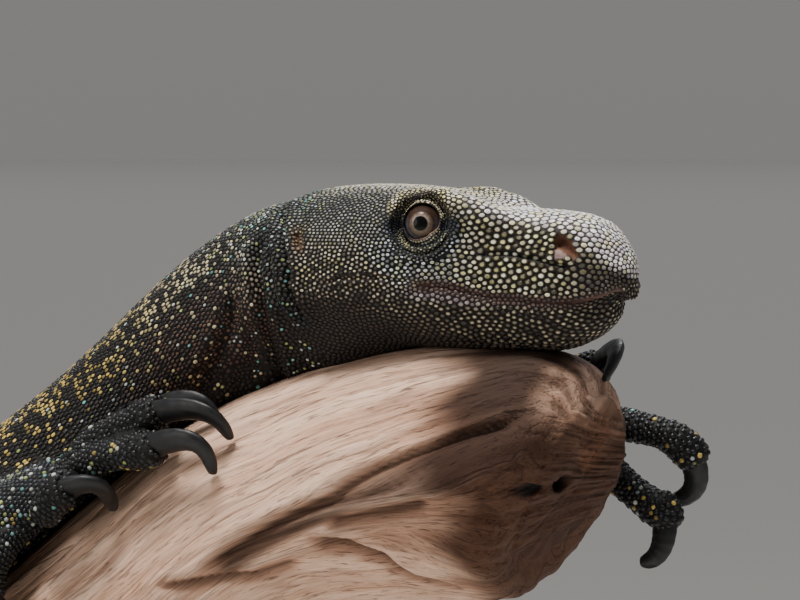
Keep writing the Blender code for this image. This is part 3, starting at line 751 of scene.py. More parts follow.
def around_eye(points, side):
    """Distance from the gaze line, turn about it from the front upwards, and distance out along it."""
    centre, gaze, ahead, up = eye_frame(side)
    off = points - centre
    x, y, z = off @ ahead, off @ up, off @ gaze
    return np.hypot(x, y), np.arctan2(y, x), z


def by_eye(rho, out):
    """Which places are in an eye's orbit."""
    return (rho < ORBIT_WIDE) & (out > 0) & (out < ORBIT_OUT)


def lid_edge(turn):
    """How far the lids' edge is from the gaze line at a turn about it."""
    degrees, rho = np.array(LIDS).T
    return np.interp(np.degrees(turn), degrees, rho)


def over_ball(rho, radius):
    """Height over the eye's centre of a ball about it."""
    return np.sqrt(np.maximum(radius ** 2 - rho ** 2, 0))


def open_lids(points, side):
    """Lays the skin over the eyeball as lids, and behind it within their opening."""
    rho, turn, out = around_eye(points, side)
    edge = lid_edge(turn)
    lid = over_ball(rho, LID_RADIUS)
    behind = np.minimum(over_ball(rho, EYE_RADIUS - 0.0013), lid)
    joined = step(rho, edge + 0.0004, edge + 0.0042)
    wanted = lid * (1 - joined) + out * joined
    wanted = behind + (wanted - behind) * step(rho, edge - 0.0003, edge + 0.0003)
    _, gaze, _, _ = eye_frame(side)
    return points + gaze * np.where(by_eye(rho, out), wanted - out, 0.0)[:, None]


def eye_turns(points):
    """Distance from the nearer eye's gaze line, and turn about it, for points outside it."""
    right, left = around_eye(points, -1), around_eye(points, 1)
    nearer = right[2] > left[2]
    rho, turn, out = (np.where(nearer, a, b) for a, b in zip(right, left))
    return np.where((out > -0.004) & (out < 0.022), rho, 1.0), turn


def orbit_lift(rho, turn):
    """The folds round the eye: a hooded brow, rings below it and sunken skin before and behind."""
    lift = np.zeros(len(rho))
    for far, rise, width, degrees in ORBIT:
        strong = np.cos(turn - math.radians(degrees))
        lift += rise * bump(rho - far, width) * step(strong, 0.15, 0.75)
    corners = step(np.abs(np.cos(turn)), 0.7, 0.95)
    wrinkle = np.sin(rho / 0.00022 + 2 * np.sin(3 * turn)) * bump(rho - 0.0098, 0.0022) * corners
    return lift + 0.00014 * wrinkle


def trunk_lift(s, degrees):
    """Loose skin: folds along the flank and round the neck."""
    flank = bump(np.abs(degrees) - 105, 22) * step(s, 0.30, 0.36) * (1 - step(s, 0.62, 0.69))
    wave = np.sin(s / 0.021 + 1.6 * np.sin(np.radians(degrees) * 2 + s * 9))
    neck = step(s, 0.15, 0.19) * (1 - step(s, 0.26, 0.33)) * step(np.abs(degrees), 60, 110)
    ring = np.sin(s / 0.0085 + 1.2 * np.sin(np.radians(degrees) * 3))
    return 0.0010 * flank * wave + 0.0007 * neck * ring


def throat_sag(s, degrees):
    """How far the loose skin of the throat hangs below its plain loft, down to the branch."""
    under = step(np.abs(degrees), 122, 168)
    return 0.0110 * under * step(s, 0.078, 0.112) * (1 - step(s, 0.150, 0.205))


def tip_back(s):
    """How far the snout's end is drawn back from its plain loft."""
    return 0.0014 * (1 - step(s, 0.002, 0.016))


def digit_swell(points, part):
    """The thick sheath of skin round each claw's base."""
    swell = np.zeros(len(points))
    for k, tube in enumerate(ALL_TUBES, 1):
        mine = part == k
        if TUBE_OF_PART[k] > 2 and mine.any():
            s, _, _ = tube_place(tube, points[mine])
            end = tube.path.length
            rings = 0.0005 * np.sin(s / 0.0011) ** 2
            swell[mine] = 0.0008 + 0.0012 * step(s, end - 0.014, end - 0.003) + rings
    return swell


def near_head(points):
    """Distance from the snout and angle from the crown, guessed from how far back points are."""
    return body_place(points, np.clip(SNOUT[0] - points[:, 0], 0, TOTAL))


def first_guess(points):
    """A rough distance from the snout for each point, from the nearest of the spine's places."""
    tree = tree_of(SPINE_PATH.p)
    return SPINE_PATH.s[[tree.find(p)[1] for p in points]]


def fine_flesh(surface):
    """The merged flesh, with finer faces over the head and feet, and finest round the eyes."""
    mesh = merged_flesh()
    centres = read(mesh.polygons, "center")
    s, _ = near_head(centres)
    _, part = surface.nearest(centres)
    high = (centres[:, 0] > SNOUT[0] - HEAD_REACH - 0.012) & (centres[:, 2] > SNOUT[2] - 0.05)
    feet = TUBE_OF_PART[part] >= 2
    fine_faces(mesh, ((part == 0) & high & (s < HEAD_REACH), HEAD_CUTS), (feet, FOOT_CUTS))
    centres = read(mesh.polygons, "center")
    close = np.zeros(len(centres), bool)
    for side in (-1, 1):
        rho, _, out = around_eye(centres, side)
        close |= by_eye(rho, out)
    fine_faces(mesh, (close, 1))
    return mesh


class Skin:
    """The finished skin: its mesh, and each point's part, body place and normal."""

    def __init__(self):
        surface = Surface()
        self.mesh = fine_flesh(surface)
        points = read(self.mesh.vertices, "co")
        place, self.part = surface.nearest(points)
        guess = np.where(self.part == 0, first_guess(points), 0.0)
        self.s, self.angle = body_place(points, guess)
        self.degrees = np.degrees(self.angle)
        points = self.smoothed(points, place)
        points = self.folded(points)
        rho, turn = eye_turns(points)
        points = points + self.read_normals() * orbit_lift(rho, turn)[:, None]
        self.points, self.touching = clear_of_branch(points)
        write_mesh(self.mesh, self.points)
        self.normals = self.read_normals()
        self.object = bpy.data.objects.new("monitor_skin", self.mesh)
        bpy.context.scene.collection.objects.link(self.object)
        self.mesh.shade_smooth()

    def read_normals(self):
        return read(self.mesh.vertex_normals, "vector")

    def smoothed(self, points, place):
        """Draws the points onto the parts' own surfaces, and smooths where limbs meet the body or bend."""
        tip = (self.part == 0) & (self.s < 0.003)
        points = np.where(tip[:, None], points, place)
        edges = read(self.mesh.edges, "vertices", 2, np.int32)
        points = relaxed(points, edges, np.where(tip, 1.0, 0.15), 4)
        for centre, reach, rounds in joint_places():
            near = 1 - step(np.linalg.norm(points - centre, axis=1), reach * 0.7, reach * 1.25)
            points = relaxed(points, edges, near * (self.s > HEAD_REACH), rounds)
        write_mesh(self.mesh, points)
        return points

    def folded(self, points):
        """Adds the folds of head, trunk and digits, the jaw's notch, the throat's sag and the lids."""
        trunk = self.part == 0
        body = trunk & (self.s < NECK_SCALES_END)
        lift = np.zeros(len(points))
        lift[body] = head_lift(points[body], self.s[body], self.degrees[body])
        lift[trunk] += trunk_lift(self.s[trunk], self.degrees[trunk])
        lift += digit_swell(points, self.part)
        points = points + self.read_normals() * lift[:, None]
        points[body, 0] -= jaw_notch(points[body]) + tip_back(self.s[body])
        points[body, 2] -= throat_sag(self.s[body], self.degrees[body])
        for side in (-1, 1):
            points = open_lids(points, side)
        write_mesh(self.mesh, points)
        return points


def clear_of_branch(points):
    """Keeps the skin out of the branch, and says which points rest on it."""
    outside, out = near_branch(points)
    touching = outside < 0.0006
    push = np.where(touching, np.maximum(GAP - outside, 0), 0)
    return points + out * push[:, None], touching


# ---- materials -------------------------------------------------------------------------------
def tone(red, green, blue):
    """A colour as seen, 0 to 255, in the renderer's own linear terms."""
    c = np.array([red, green, blue], float) / 255
    return np.where(c < 0.04045, c / 12.92, ((c + 0.055) / 1.055) ** 2.4)


class Paint:
    """A Principled material, with short ways to add the nodes that vary it."""

    def __init__(self, name, colour, roughness, **sockets):
        self.material = bpy.data.materials.new(name)
        self.material.use_nodes = True
        self.tree = self.material.node_tree
        self.shader = self.tree.nodes["Principled BSDF"]
        self.shader.inputs["Base Color"].default_value = (*colour, 1)
        self.shader.inputs["Roughness"].default_value = roughness
        for socket, value in sockets.items():
            self.shader.inputs[socket.replace("_", " ")].default_value = value

    def node(self, kind, inputs=None, **settings):
        """Adds a node: an input is a value, or another node's output."""
        node = self.tree.nodes.new(kind)
        for key, value in settings.items():
            setattr(node, key, value)
        for key, value in (inputs or {}).items():
            if isinstance(value, bpy.types.NodeSocket):
                self.tree.links.new(value, node.inputs[key])
            else:
                node.inputs[key].default_value = value
        return node

    def set(self, socket, value):
        self.tree.links.new(value, self.shader.inputs[socket])

    def place(self, scale=(1, 1, 1), uv=None):
        """Coordinates of the surface, in metres, stretched by a scale."""
        if uv:
            source = self.node("ShaderNodeUVMap", uv_map=uv).outputs["UV"]
        else:
            source = self.node("ShaderNodeTexCoord").outputs["Object"]
        return self.node("ShaderNodeMapping", {"Vector": source, "Scale": scale}).outputs["Vector"]

    def noise(self, vector, scale, detail=3.0, roughness=0.55, distortion=0.0):
        inputs = {"Vector": vector, "Scale": scale, "Detail": detail, "Roughness": roughness,
                  "Distortion": distortion}
        return self.node("ShaderNodeTexNoise", inputs).outputs["Fac"]

    def ramp(self, value, *stops):
        """A colour ramp: each stop is a place and a colour or a grey."""
        ramp = self.node("ShaderNodeValToRGB", {"Fac": value})
        elements = ramp.color_ramp.elements
        while len(elements) < len(stops):
            elements.new(0.5)
        for element, (place, colour) in zip(elements, stops):
            element.position = place
            element.color = (*colour, 1) if np.ndim(colour) else (colour, colour, colour, 1)
        return ramp.outputs["Color"]

    def mix(self, a, b, factor, how="MIX"):
        """Mixes two colours by a factor, or multiplies them."""
        mix = self.node("ShaderNodeMix", data_type="RGBA", blend_type=how)
        for socket, value in ((mix.inputs[0], factor), (mix.inputs[6], a), (mix.inputs[7], b)):
            if isinstance(value, bpy.types.NodeSocket):
                self.tree.links.new(value, socket)
            elif np.ndim(value):
                socket.default_value = (*value, 1)
            else:
                socket.default_value = value
        return mix.outputs[2]

    def stored(self, name, output="Color"):
        """What colour_by or the branch stored at each point."""
        return self.node("ShaderNodeAttribute", attribute_name=name).outputs[output]

    def mottled(self, place, scale, detail, dark, bright):
        """Shows the points' own tones, mottled from dark to bright."""
        mottle = self.ramp(self.noise(place, scale, detail), (0.3, dark), (0.7, bright))
        self.set("Base Color", self.mix(self.stored("Tone"), mottle, 1.0, "MULTIPLY"))

    def bump(self, height, distance, strength=1.0, after=None):
        inputs = {"Height": height, "Distance": distance, "Strength": strength}
        if after is not None:
            inputs["Normal"] = after
        return self.node("ShaderNodeBump", inputs).outputs["Normal"]


def scale_paint():
    """Horny scales: each has its own tone, with a faint mottle and a soft gloss."""
    paint = Paint("scale", tone(90, 85, 70), 0.42, Specular_IOR_Level=0.34, Coat_Weight=0.08,
                  Coat_Roughness=0.3)
    place = paint.place()
    paint.mottled(place, 900, 2, 0.72, 1.12)
    paint.set("Roughness", paint.ramp(paint.noise(place, 420, 2), (0.3, 0.33), (0.7, 0.52)))
    paint.set("Normal", paint.bump(paint.noise(place, 2600, 2), 0.00012, 0.5))
    return paint.material


def skin_paint():
    """Skin between the scales: the markings' own tones, darker, finely wrinkled."""
    paint = Paint("skin", tone(30, 26, 22), 0.65, Specular_IOR_Level=0.3)
    place = paint.place()
    paint.mottled(place, 700, 3, 0.6, 1.2)
    paint.set("Normal", paint.bump(paint.noise(place, 1500, 4), 0.0003, 0.8))
    return paint.material


def horn_paint():
    """Slate-black horn with fine growth lines along the claw."""
    paint = Paint("horn", tone(22, 23, 26), 0.48, Specular_IOR_Level=0.4, Coat_Weight=0.08,
                  Coat_Roughness=0.3)
    lines = paint.noise(paint.place((60, 900, 1), uv="Grain"), 1.0, 4)
    paint.set("Base Color", paint.ramp(lines, (0.30, tone(11, 11, 12)), (0.62, tone(22, 22, 25)),
                                       (0.85, tone(42, 43, 47))))
    paint.set("Roughness", paint.ramp(paint.noise(paint.place(), 300, 3), (0.3, 0.36), (0.7, 0.60)))
    paint.set("Normal", paint.bump(lines, 0.00012, 0.6))
    return paint.material


def eye_paint():
    """The eye's own tones under a clear, wet coat."""
    paint = Paint("iris", tone(120, 100, 80), 0.30, Specular_IOR_Level=0.1, Coat_Weight=0.35,
                  Coat_Roughness=0.04, Coat_IOR=1.38)
    paint.mottled(paint.place(), 1800, 3, 0.75, 1.2)
    return paint.material


def wood_paint():
    """Weathered driftwood: pale worn ridges, short dark strokes and long dark cracks along the grain."""
    paint = Paint("wood", tone(190, 160, 138), 0.8, Specular_IOR_Level=0.25)
    wood = paint.stored("Grain", "Vector")

    def streaks(long, wide, detail, rough=0.55, shift=0.0):
        """Noise in streaks along the grain, of a length and a width."""
        scale = paint.node("ShaderNodeMapping", {"Vector": wood, "Location": (shift,) * 3,
                                                 "Scale": (1 / long, 1 / wide, 1 / wide)})
        return paint.noise(scale.outputs["Vector"], 1.0, detail, rough, 0.3)

    broad = streaks(0.050, 0.0070, 4)
    strokes = streaks(0.0080, 0.0009, 3, 0.6)
    fibre = streaks(0.020, 0.0005, 2)
    cracks = streaks(0.110, 0.0085, 3, 0.45, 0.3)
    split = paint.ramp(cracks, (0.455, 1.0), (0.495, 0.0), (0.505, 0.0), (0.545, 1.0))
    pits = paint.ramp(strokes, (0.31, 0.0), (0.42, 1.0))
    colour = paint.stored("Tone")
    for height, factor, dark, bright in (
            (broad, 0.5, (0.36, tone(206, 184, 168)), (0.58, tone(255, 252, 250))),
            (strokes, 0.6, (0.30, tone(110, 78, 62)), (0.44, tone(250, 246, 244))),
            (fibre, 0.6, (0.28, tone(196, 180, 168)), (0.6, 1.0)),
            (split, 0.32, (0.0, tone(110, 80, 62)), (0.8, 1.0))):
        colour = paint.mix(colour, paint.ramp(height, dark, bright), factor, "MULTIPLY")
    paint.set("Base Color", colour)
    first = paint.bump(split, 0.0010, 0.4)
    second = paint.bump(pits, 0.0008, 0.6, first)
    paint.set("Normal", paint.bump(fibre, 0.0004, 0.5, second))
    return paint.material


def board_paint():
    """Satin black lacquer over fibreboard, faintly dusty, and worn pale along its edges."""
    paint = Paint("board", tone(52, 50, 48), 0.45)
    place = paint.place()
    dust = paint.noise(place, 9, 5, 0.6)
    edge = paint.node("ShaderNodeNewGeometry").outputs["Pointiness"]
    wear = paint.ramp(edge, (0.505, 0.0), (0.56, 0.5))
    colour = paint.ramp(dust, (0.3, tone(44, 42, 41)), (0.7, tone(62, 59, 56)))
    paint.set("Base Color", paint.mix(colour, tone(120, 112, 102), wear))
    paint.set("Roughness", paint.ramp(paint.noise(place, 30, 4), (0.3, 0.34), (0.7, 0.55)))
    paint.set("Normal", paint.bump(paint.noise(place, 500, 2), 0.0002, 0.35))
    return paint.material


def steel_paint():
    """Drawn steel rod, brushed round."""
    paint = Paint("steel", tone(150, 150, 152), 0.35, Metallic=1.0)
    lines = paint.noise(paint.place((40, 40, 1800)), 1.0, 3)
    paint.set("Roughness", paint.ramp(lines, (0.3, 0.26), (0.7, 0.46)))
    paint.set("Base Color", paint.ramp(lines, (0.3, tone(128, 128, 130)), (0.7, tone(168, 168, 170))))
    paint.set("Normal", paint.bump(lines, 0.00008, 0.5))
    return paint.material


def floor_paint():
    """A matt pale studio floor."""
    return Paint("studio_floor", tone(230, 227, 222), 0.9, Specular_IOR_Level=0.1).material


def colour_by(mesh, colours):
    """Stores a tone for each point, which the materials read."""
    data = np.ones((len(mesh.vertices), 4), np.float32)
    data[:, :3] = colours
    mesh.color_attributes.new("Tone", "FLOAT_COLOR", "POINT").data.foreach_set("color", data.ravel())


def add_uv(mesh, name, uv):
    """Gives each point one place on a UV map."""
    corners = read(mesh.loops, "vertex_index", 1, np.int32)[:, 0]
    mesh.uv_layers.new(name=name).data.foreach_set("uv", uv[corners].astype(np.float32).ravel())


# ---- value noise -----------------------------------------------------------------------------
def scatter(cells, seed):
    """A repeatable number from 0 to 1 for each whole-numbered cell."""
    x, y, z = (cells[..., k].astype(np.int64) for k in range(3))
    h = x * 73856093 ^ y * 19349663 ^ z * 83492791 ^ (seed * 2654435761)
    h = (h ^ (h >> 13)) * 1274126177 & 0x7FFFFFFF
    return ((h ^ (h >> 16)) & 0xFFFF) / 65535.0


def noise(points, seed=0, octaves=1):
    """Smooth noise from 0 to 1 over points in three dimensions."""
    total, weight, scale = 0.0, 0.0, 1.0
    for octave in range(octaves):
        p = points * scale
        cell = np.floor(p)
        t = p - cell
        t = t * t * (3 - 2 * t)
        value = 0.0
        for corner in range(8):
            offset = np.array([corner & 1, corner >> 1 & 1, corner >> 2 & 1])
            share = np.prod(np.where(offset, t, 1 - t), axis=-1)
            value = value + share * scatter(cell + offset, seed + octave)
        total, weight, scale = total + value / scale, weight + 1 / scale, scale * 2.03
    return total / weight


# ---- branch ----------------------------------------------------------------------------------
BRANCH_AROUND, END_RINGS = 200, 34         # points round the branch, and rings over its broken end
BRANCH_FLAT = 0.043                        # the radius at which the surface is laid flat for its furrows
WOOD_PALE, WOOD_TAN = tone(243, 210, 186), tone(214, 174, 148)
# Pale tone for the end's top edge: partly worn wood, partly painted light.
WOOD_LIT_CREST = tone(212, 178, 156)
# HOLE_SHADE is painted shade: the near-black inside the knot holes.
WOOD_BROWN, WOOD_DARK, HOLE_SHADE = tone(84, 56, 40), tone(50, 31, 22), tone(9, 6, 5)
# Furrows along the branch, the main one first: places as distance from the upper end and degrees from the
# top, then depth and width.
FURROWS = (
    (((0.1400, -100), (0.1160, -98), (0.0755, -91), (0.0358, -71), (0.0149, -59), (0.0028, -42)),
     0.0042, 0.0036),
    (((0.0800, -103), (0.0738, -102), (0.0518, -101), (0.0340, -98)), 0.0032, 0.0028),
    (((0.1537, -93), (0.1366, -103), (0.1157, -114), (0.0937, -115)), 0.0028, 0.0026),
    (((0.0904, -107), (0.0727, -114), (0.0584, -124), (0.0468, -142), (0.0242, -161)), 0.0036, 0.0034))
# Knot holes in the worn end: place from the snout towards the left and up, and their half height.
KNOT_HOLES = ((-0.0285, -0.0606, 0.0026), (-0.0118, -0.0592, 0.0028))
KNOT_WIDE = 1.6                            # how much wider than high they are
GRAIN_RADIUS = 0.045                       # at which the wear along the grain is read


def grain_turn(s, angle):
    """The angle that one line of the grain keeps: it climbs to the broken end, and falls under the furrow."""
    climb = np.interp(s, (-0.03, 0.0, 0.03, 0.06, 0.10, 0.16, 0.22, 0.40),
                      (0, 0, 0.34, 0.62, 0.82, 0.90, 0.86, 0.4))
    near_side = 1 - 2 * step(-np.degrees(angle), 90, 116)
    return angle + climb * np.where(angle < 0.35, near_side, 1 - step(angle, 0.35, 2.2))


def grain_place(s, angle, radius):
    """A place in the wood with its bends and twist taken out, the grain along the first axis."""
    turn = grain_turn(s, angle)
    return np.stack([s, radius * np.cos(turn), radius * np.sin(turn)], -1)


def knot_gap(off, y, z):
    """Distance from a knot hole's middle, less across as the hole is wide, for places told from the snout."""
    return np.hypot((off[..., 1] - y) / KNOT_WIDE, off[..., 2] - z)


def end_grain(face, radius):
    """The grain's place over the end: it runs on level from the near side, and parts round the knots."""
    off = face - SNOUT
    centre = face.mean(axis=(0, 1)) - SNOUT
    rise = off[..., 2] - centre[2]
    for y, z, size in KNOT_HOLES:
        rise = rise - (off[..., 2] - z) * 0.6 * bump(knot_gap(off, y, z), 2.4 * size)
    height = np.clip(rise / radius, -1, 1)
    past = off[..., 1] - centre[1] + radius * np.sqrt(1 - height ** 2)
    height = np.clip(height * (1 + 0.45 * past / radius), -1, 1)
    return grain_place(-past, -np.arccos(height), radius)


def wood_depth(s, angle):
    """How deep the weather has worn the branch below its plain surface, and how dark it is there."""
    wood = grain_place(s, angle, GRAIN_RADIUS)
    broad = noise(wood * (9, 70, 70), 3, 3)
    furrow = noise(wood * (14, 170, 170), 17, 3)
    end = 1 - step(s, 0.01, 0.10)
    depth = 0.0012 * broad + 0.0014 * (1 - np.abs(2 * furrow - 1)) ** 3
    right = np.sin(np.clip(-angle, 0, math.pi)) ** 2
    depth = depth + end * (0.0016 + 0.0022 * right) * step(furrow, 0.45, 0.75)
    flat = np.stack([s, angle * BRANCH_FLAT, np.zeros_like(s)], -1).reshape(-1, 3)
    dark = 0.14 * step(furrow, 0.62, 0.78)
    for row, (line, deep, width) in enumerate(FURROWS):
        line = np.array([(place, math.radians(degrees) * BRANCH_FLAT, 0) for place, degrees in line])
        gap, share, near = (v.reshape(*s.shape, *v.shape[1:]) for v in to_line(flat, line))
        below = angle * BRANCH_FLAT < near[..., 1]
        width = width * (0.6 + 0.8 * broad)
        fade = step(share, 0, 0.12) * step(1 - share, 0, 0.15)
        depth = depth + deep * fade * np.where(below, bump(gap, width), bump(gap, 0.0010))
        depth = depth - 0.0006 * fade * np.where(below, 0, bump(gap - 0.0035, 0.0022))
        # Partly painted shade, partly darker wood: the furrows darken, most on their lower side under the
        # ridge.
        dark = np.maximum(dark, 0.9 * fade * np.where(below, bump(gap, width * 1.1), bump(gap, 0.0008)))
        if row == 0:
            # The belt under the main furrow darkens too: partly painted shade under the ridge, partly darker
            # wood.
            reach = 0.0100 + 0.0130 * step(share, 0.40, 0.75)
            belt = fade * below * (1 - step(gap / reach, 0.60, 1.0))
            belt = belt * (0.82 + 0.18 * step(furrow, 0.30, 0.60))
            dark = np.maximum(dark, belt)
            depth = depth + 0.0012 * belt * step(furrow, 0.45, 0.75)
    rest = np.exp(-(angle / 0.55) ** 2) * step(s, 0.004, 0.02) * (1 - step(s, 0.16, 0.22))
    return np.maximum(depth * (1 - 0.92 * rest), 0), dark


def knot_hole(off):
    """Which places, told from the snout, lie in the end's knot holes: 1 inside, 0 outside."""
    hole = np.zeros(off.shape[:-1])
    for y, z, size in KNOT_HOLES:
        hole = np.maximum(hole, step(size - knot_gap(off, y, z), -0.0004, 0.0008))
    return hole


def branch_shape():
    """Rings of the worn branch and its broken end, and for each point its place in the wood, how worn and
    how dark it is, its distance from the upper end and its angle."""
    rows = np.concatenate([np.linspace(0, 0.010, 9)[:-1], np.arange(0.010, 0.30, 0.0013),
                           np.linspace(0.30, BRANCH_PATH.length, 90)])
    around = np.linspace(-math.pi, math.pi, BRANCH_AROUND, endpoint=False)
    s, angle = np.meshgrid(rows, around, indexing="ij")
    depth, dark = wood_depth(s, angle)
    place, forward, left, up = frame_of(BRANCH_PATH, branch_place(s, angle))
    out = outwards(left, up, angle)
    radius = branch_radius(s, angle)
    rings = place + out * (radius - depth)[..., None]
    side_hole = knot_hole(rings - SNOUT) * (1 - step(s, 0.014, 0.018))
    rings = rings - out * (0.0050 * side_hole)[..., None]
    # Painted shade: the side's knot hole is marked to go near-black.
    dark = dark + 3 * side_hole
    centre, inwards = rings[0].mean(0), -forward[0].mean(0)
    share = np.linspace(0.03, 1, END_RINGS, endpoint=False)[:, None]
    face = centre + (rings[0] - centre) * share[..., None]
    rough = noise(face * 150, 5, 3) - 0.5
    level = end_grain(face, float(radius[0].mean()))
    cracks = 1 - np.abs(2 * noise(level * (26, 380, 380), 7, 3) - 1)
    round_off = 0.0060 * np.sqrt(np.maximum(1 - share ** 2, 0))
    worn = 0.0036 * rough + 0.0010 * cracks ** 4
    hole = knot_hole(face - SNOUT)
    sunk = worn * step(1 - share, 0, 0.10) + 0.0070 * hole - round_off
    face = face + inwards * sunk[..., None]
    end_s = np.repeat(-0.010 * np.sqrt(1 - share ** 2), BRANCH_AROUND, 1)
    wood = np.concatenate([level, grain_place(s, angle, radius)])
    # Painted shade: the end's knot holes are marked to go near-black.
    end_dark = 0.10 + 0.60 * cracks ** 4 + 3 * hole
    end_angle = np.repeat(angle[:1], END_RINGS, 0)
    pairs = ((worn * 0.6, depth), (end_dark, dark), (end_s, s), (end_angle, angle))
    return (np.concatenate([face, rings]), wood, *(np.vstack(pair) for pair in pairs))


def branch_colours(wood, depth, dark, s, angle):
    """Pale and tan wood, brown at the broken end with a pale crest, and dark in furrows, cracks and holes."""
    # Some tones below are painted light and shade, each marked where it is made.
    worn = step(1 - depth / 0.0030, 0.1, 0.8)[..., None]
    colour = WOOD_TAN + (WOOD_PALE - WOOD_TAN) * worn
    # Painted light: the wood is made paler on its sides below the top, back from the end, as if lit there.
    low = step(np.abs(angle), 0.6, 1.3) * step(s, 0.05, 0.10)
    colour = colour * np.minimum(1 + 0.5 * low, 0.88 / colour[..., 0])[..., None]
    edge = 0.036 + 0.006 * np.cos(angle) + 0.046 * (noise(wood * (12, 60, 60), 29, 3) - 0.5)
    near_end = 0.97 * (1 - step(s, edge - 0.016, edge + 0.010))
    # Painted shadow: the brown is darker on the top near the end, where the chin's shadow falls.
    shaded = 1 - 0.70 * bump(s - 0.020, 0.024) * step(np.cos(angle), 0.2, 0.75)
    # Painted light: the brown is lighter on the top of the broken end, where the light falls on it.
    lit = 1 + 1.6 * step(np.cos(angle), 0.35, 0.95) * (1 - step(s, -0.003, 0.006))
    colour = colour + (WOOD_BROWN * (lit * shaded)[..., None] - colour) * near_end[..., None]
    # Partly worn pale wood, partly painted light: the top edge of the broken end is made pale.
    crest = step(np.cos(angle), 0.48, 0.90) * step(s, -0.0095, -0.0040) * (1 - step(s, 0.002, 0.012))
    crest = crest * (0.35 + 0.65 * step(noise(wood * (90, 300, 300), 31, 2), 0.35, 0.62))
    colour = colour + (WOOD_LIT_CREST - colour) * 0.85 * crest[..., None]
    colour = colour + (WOOD_DARK - colour) * np.clip(dark * 0.9, 0, 0.96)[..., None]
    # Painted shade: near-black in the knot holes.
    return colour + (HOLE_SHADE - colour) * step(dark, 1.5, 2.5)[..., None]


def with_ends(grid):
    """A value for each point of a band: its rings' own, then its two end points' means."""
    return np.vstack([grid.reshape(-1, 3), grid[0].mean(0), grid[-1].mean(0)])


def build_branch():
    """The driftwood branch, its tones and grain stored at its points."""
    rings, wood, *looks = branch_shape()
    points, quads, triangles = band(rings)
    obj = add_mesh("driftwood_branch", points, [quads, triangles], wood_paint())
    colour_by(obj.data, with_ends(branch_colours(wood, *looks)))
    grain = obj.data.attributes.new("Grain", "FLOAT_VECTOR", "POINT")
    grain.data.foreach_set("vector", with_ends(wood).astype(np.float32).ravel())
    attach(obj, "root")
    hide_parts("perch_branch")


# ---- eyes, claws and stand -------------------------------------------------------------------
PUPIL, IRIS_EDGE = 0.00225, 0.0041
# Tones outwards from the gaze line: distance, and the tone above, and below or behind, it.
# Above, the outer tones are darker: partly the eye's own brown, partly painted shade under the lid and brow.
EYE_TONES = (
    (0.0, (3, 3, 3), (3, 3, 3)),
    (PUPIL, (3, 3, 3), (3, 3, 3)),
    (PUPIL + 0.00012, (132, 116, 108), (104, 88, 74)),
    (PUPIL + 0.0004, (142, 126, 116), (112, 98, 84)),
    (PUPIL + 0.0010, (104, 88, 78), (96, 80, 68)),
    (PUPIL + 0.0013, (84, 68, 58), (100, 84, 72)),
    (IRIS_EDGE - 0.0002, (70, 54, 44), (98, 82, 70)),
    (IRIS_EDGE + 0.0001, (44, 31, 24), (58, 44, 36)),
    (IRIS_EDGE + 0.0004, (58, 42, 34), (72, 66, 68)),
    (0.0050, (54, 40, 32), (80, 78, 84)),
    (0.0058, (50, 38, 30), (62, 62, 70)),
    (0.0066, (40, 31, 25), (34, 36, 40)))


def eye_tones(off_line, turn):
    """The eye's tones: pupil, tan ring, mottled iris and dark outline, then brown above and grey below."""
    stops = [row[0] for row in EYE_TONES]
    above, below = (np.array([tone(*row[k]) for row in EYE_TONES]) for k in (1, 2))
    upper, lower = (np.stack([np.interp(off_line, stops, rows[:, k]) for k in range(3)], -1)
                    for rows in (above, below))
    # Painted shade in part: the upper tones darken the outer eye under the lid.
    return lower + (upper - lower) * step(np.sin(turn), -0.1, 0.6)[..., None]


def build_eye(word, side, material):
    """An eyeball with its cornea standing out, and its pupil, iris and veins as tones."""
    centre, gaze, ahead, up = eye_frame(side)
    off = np.concatenate([np.linspace(0.02, 0.75, 60), np.linspace(0.78, math.pi - 0.05, 30)])
    off, turn = np.meshgrid(off, turns(96), indexing="ij")
    line = EYE_RADIUS * np.sin(off)
    bulge = 0.00045 * (1 - step(line, 0.0030, 0.0052)) * (off < 1.2)
    radius = EYE_RADIUS - 0.0002 + bulge
    ring = (np.cos(turn)[..., None] * ahead + np.sin(turn)[..., None] * up) * np.sin(off)[..., None]
    points, quads, triangles = band(centre + (ring + np.cos(off)[..., None] * gaze) * radius[..., None])
    obj = add_mesh(f"{word}_eyeball", points, [quads, triangles], material)
    seen = np.append(np.where(off < 1.5, line, 0.0070).ravel(), (0.0, 0.0070))
    colours = eye_tones(seen, np.append(turn.ravel(), (0.0, 0.0)))
    veins = noise(np.stack([np.cos(turn) * 9, np.sin(turn) * 9, off * 5], -1), 61, 3).ravel()
    colours[:-2] *= (0.62 + 0.72 * veins)[:, None]
    colour_by(obj.data, colours)
    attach(obj, "root")
    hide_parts(f"eye_{word}")


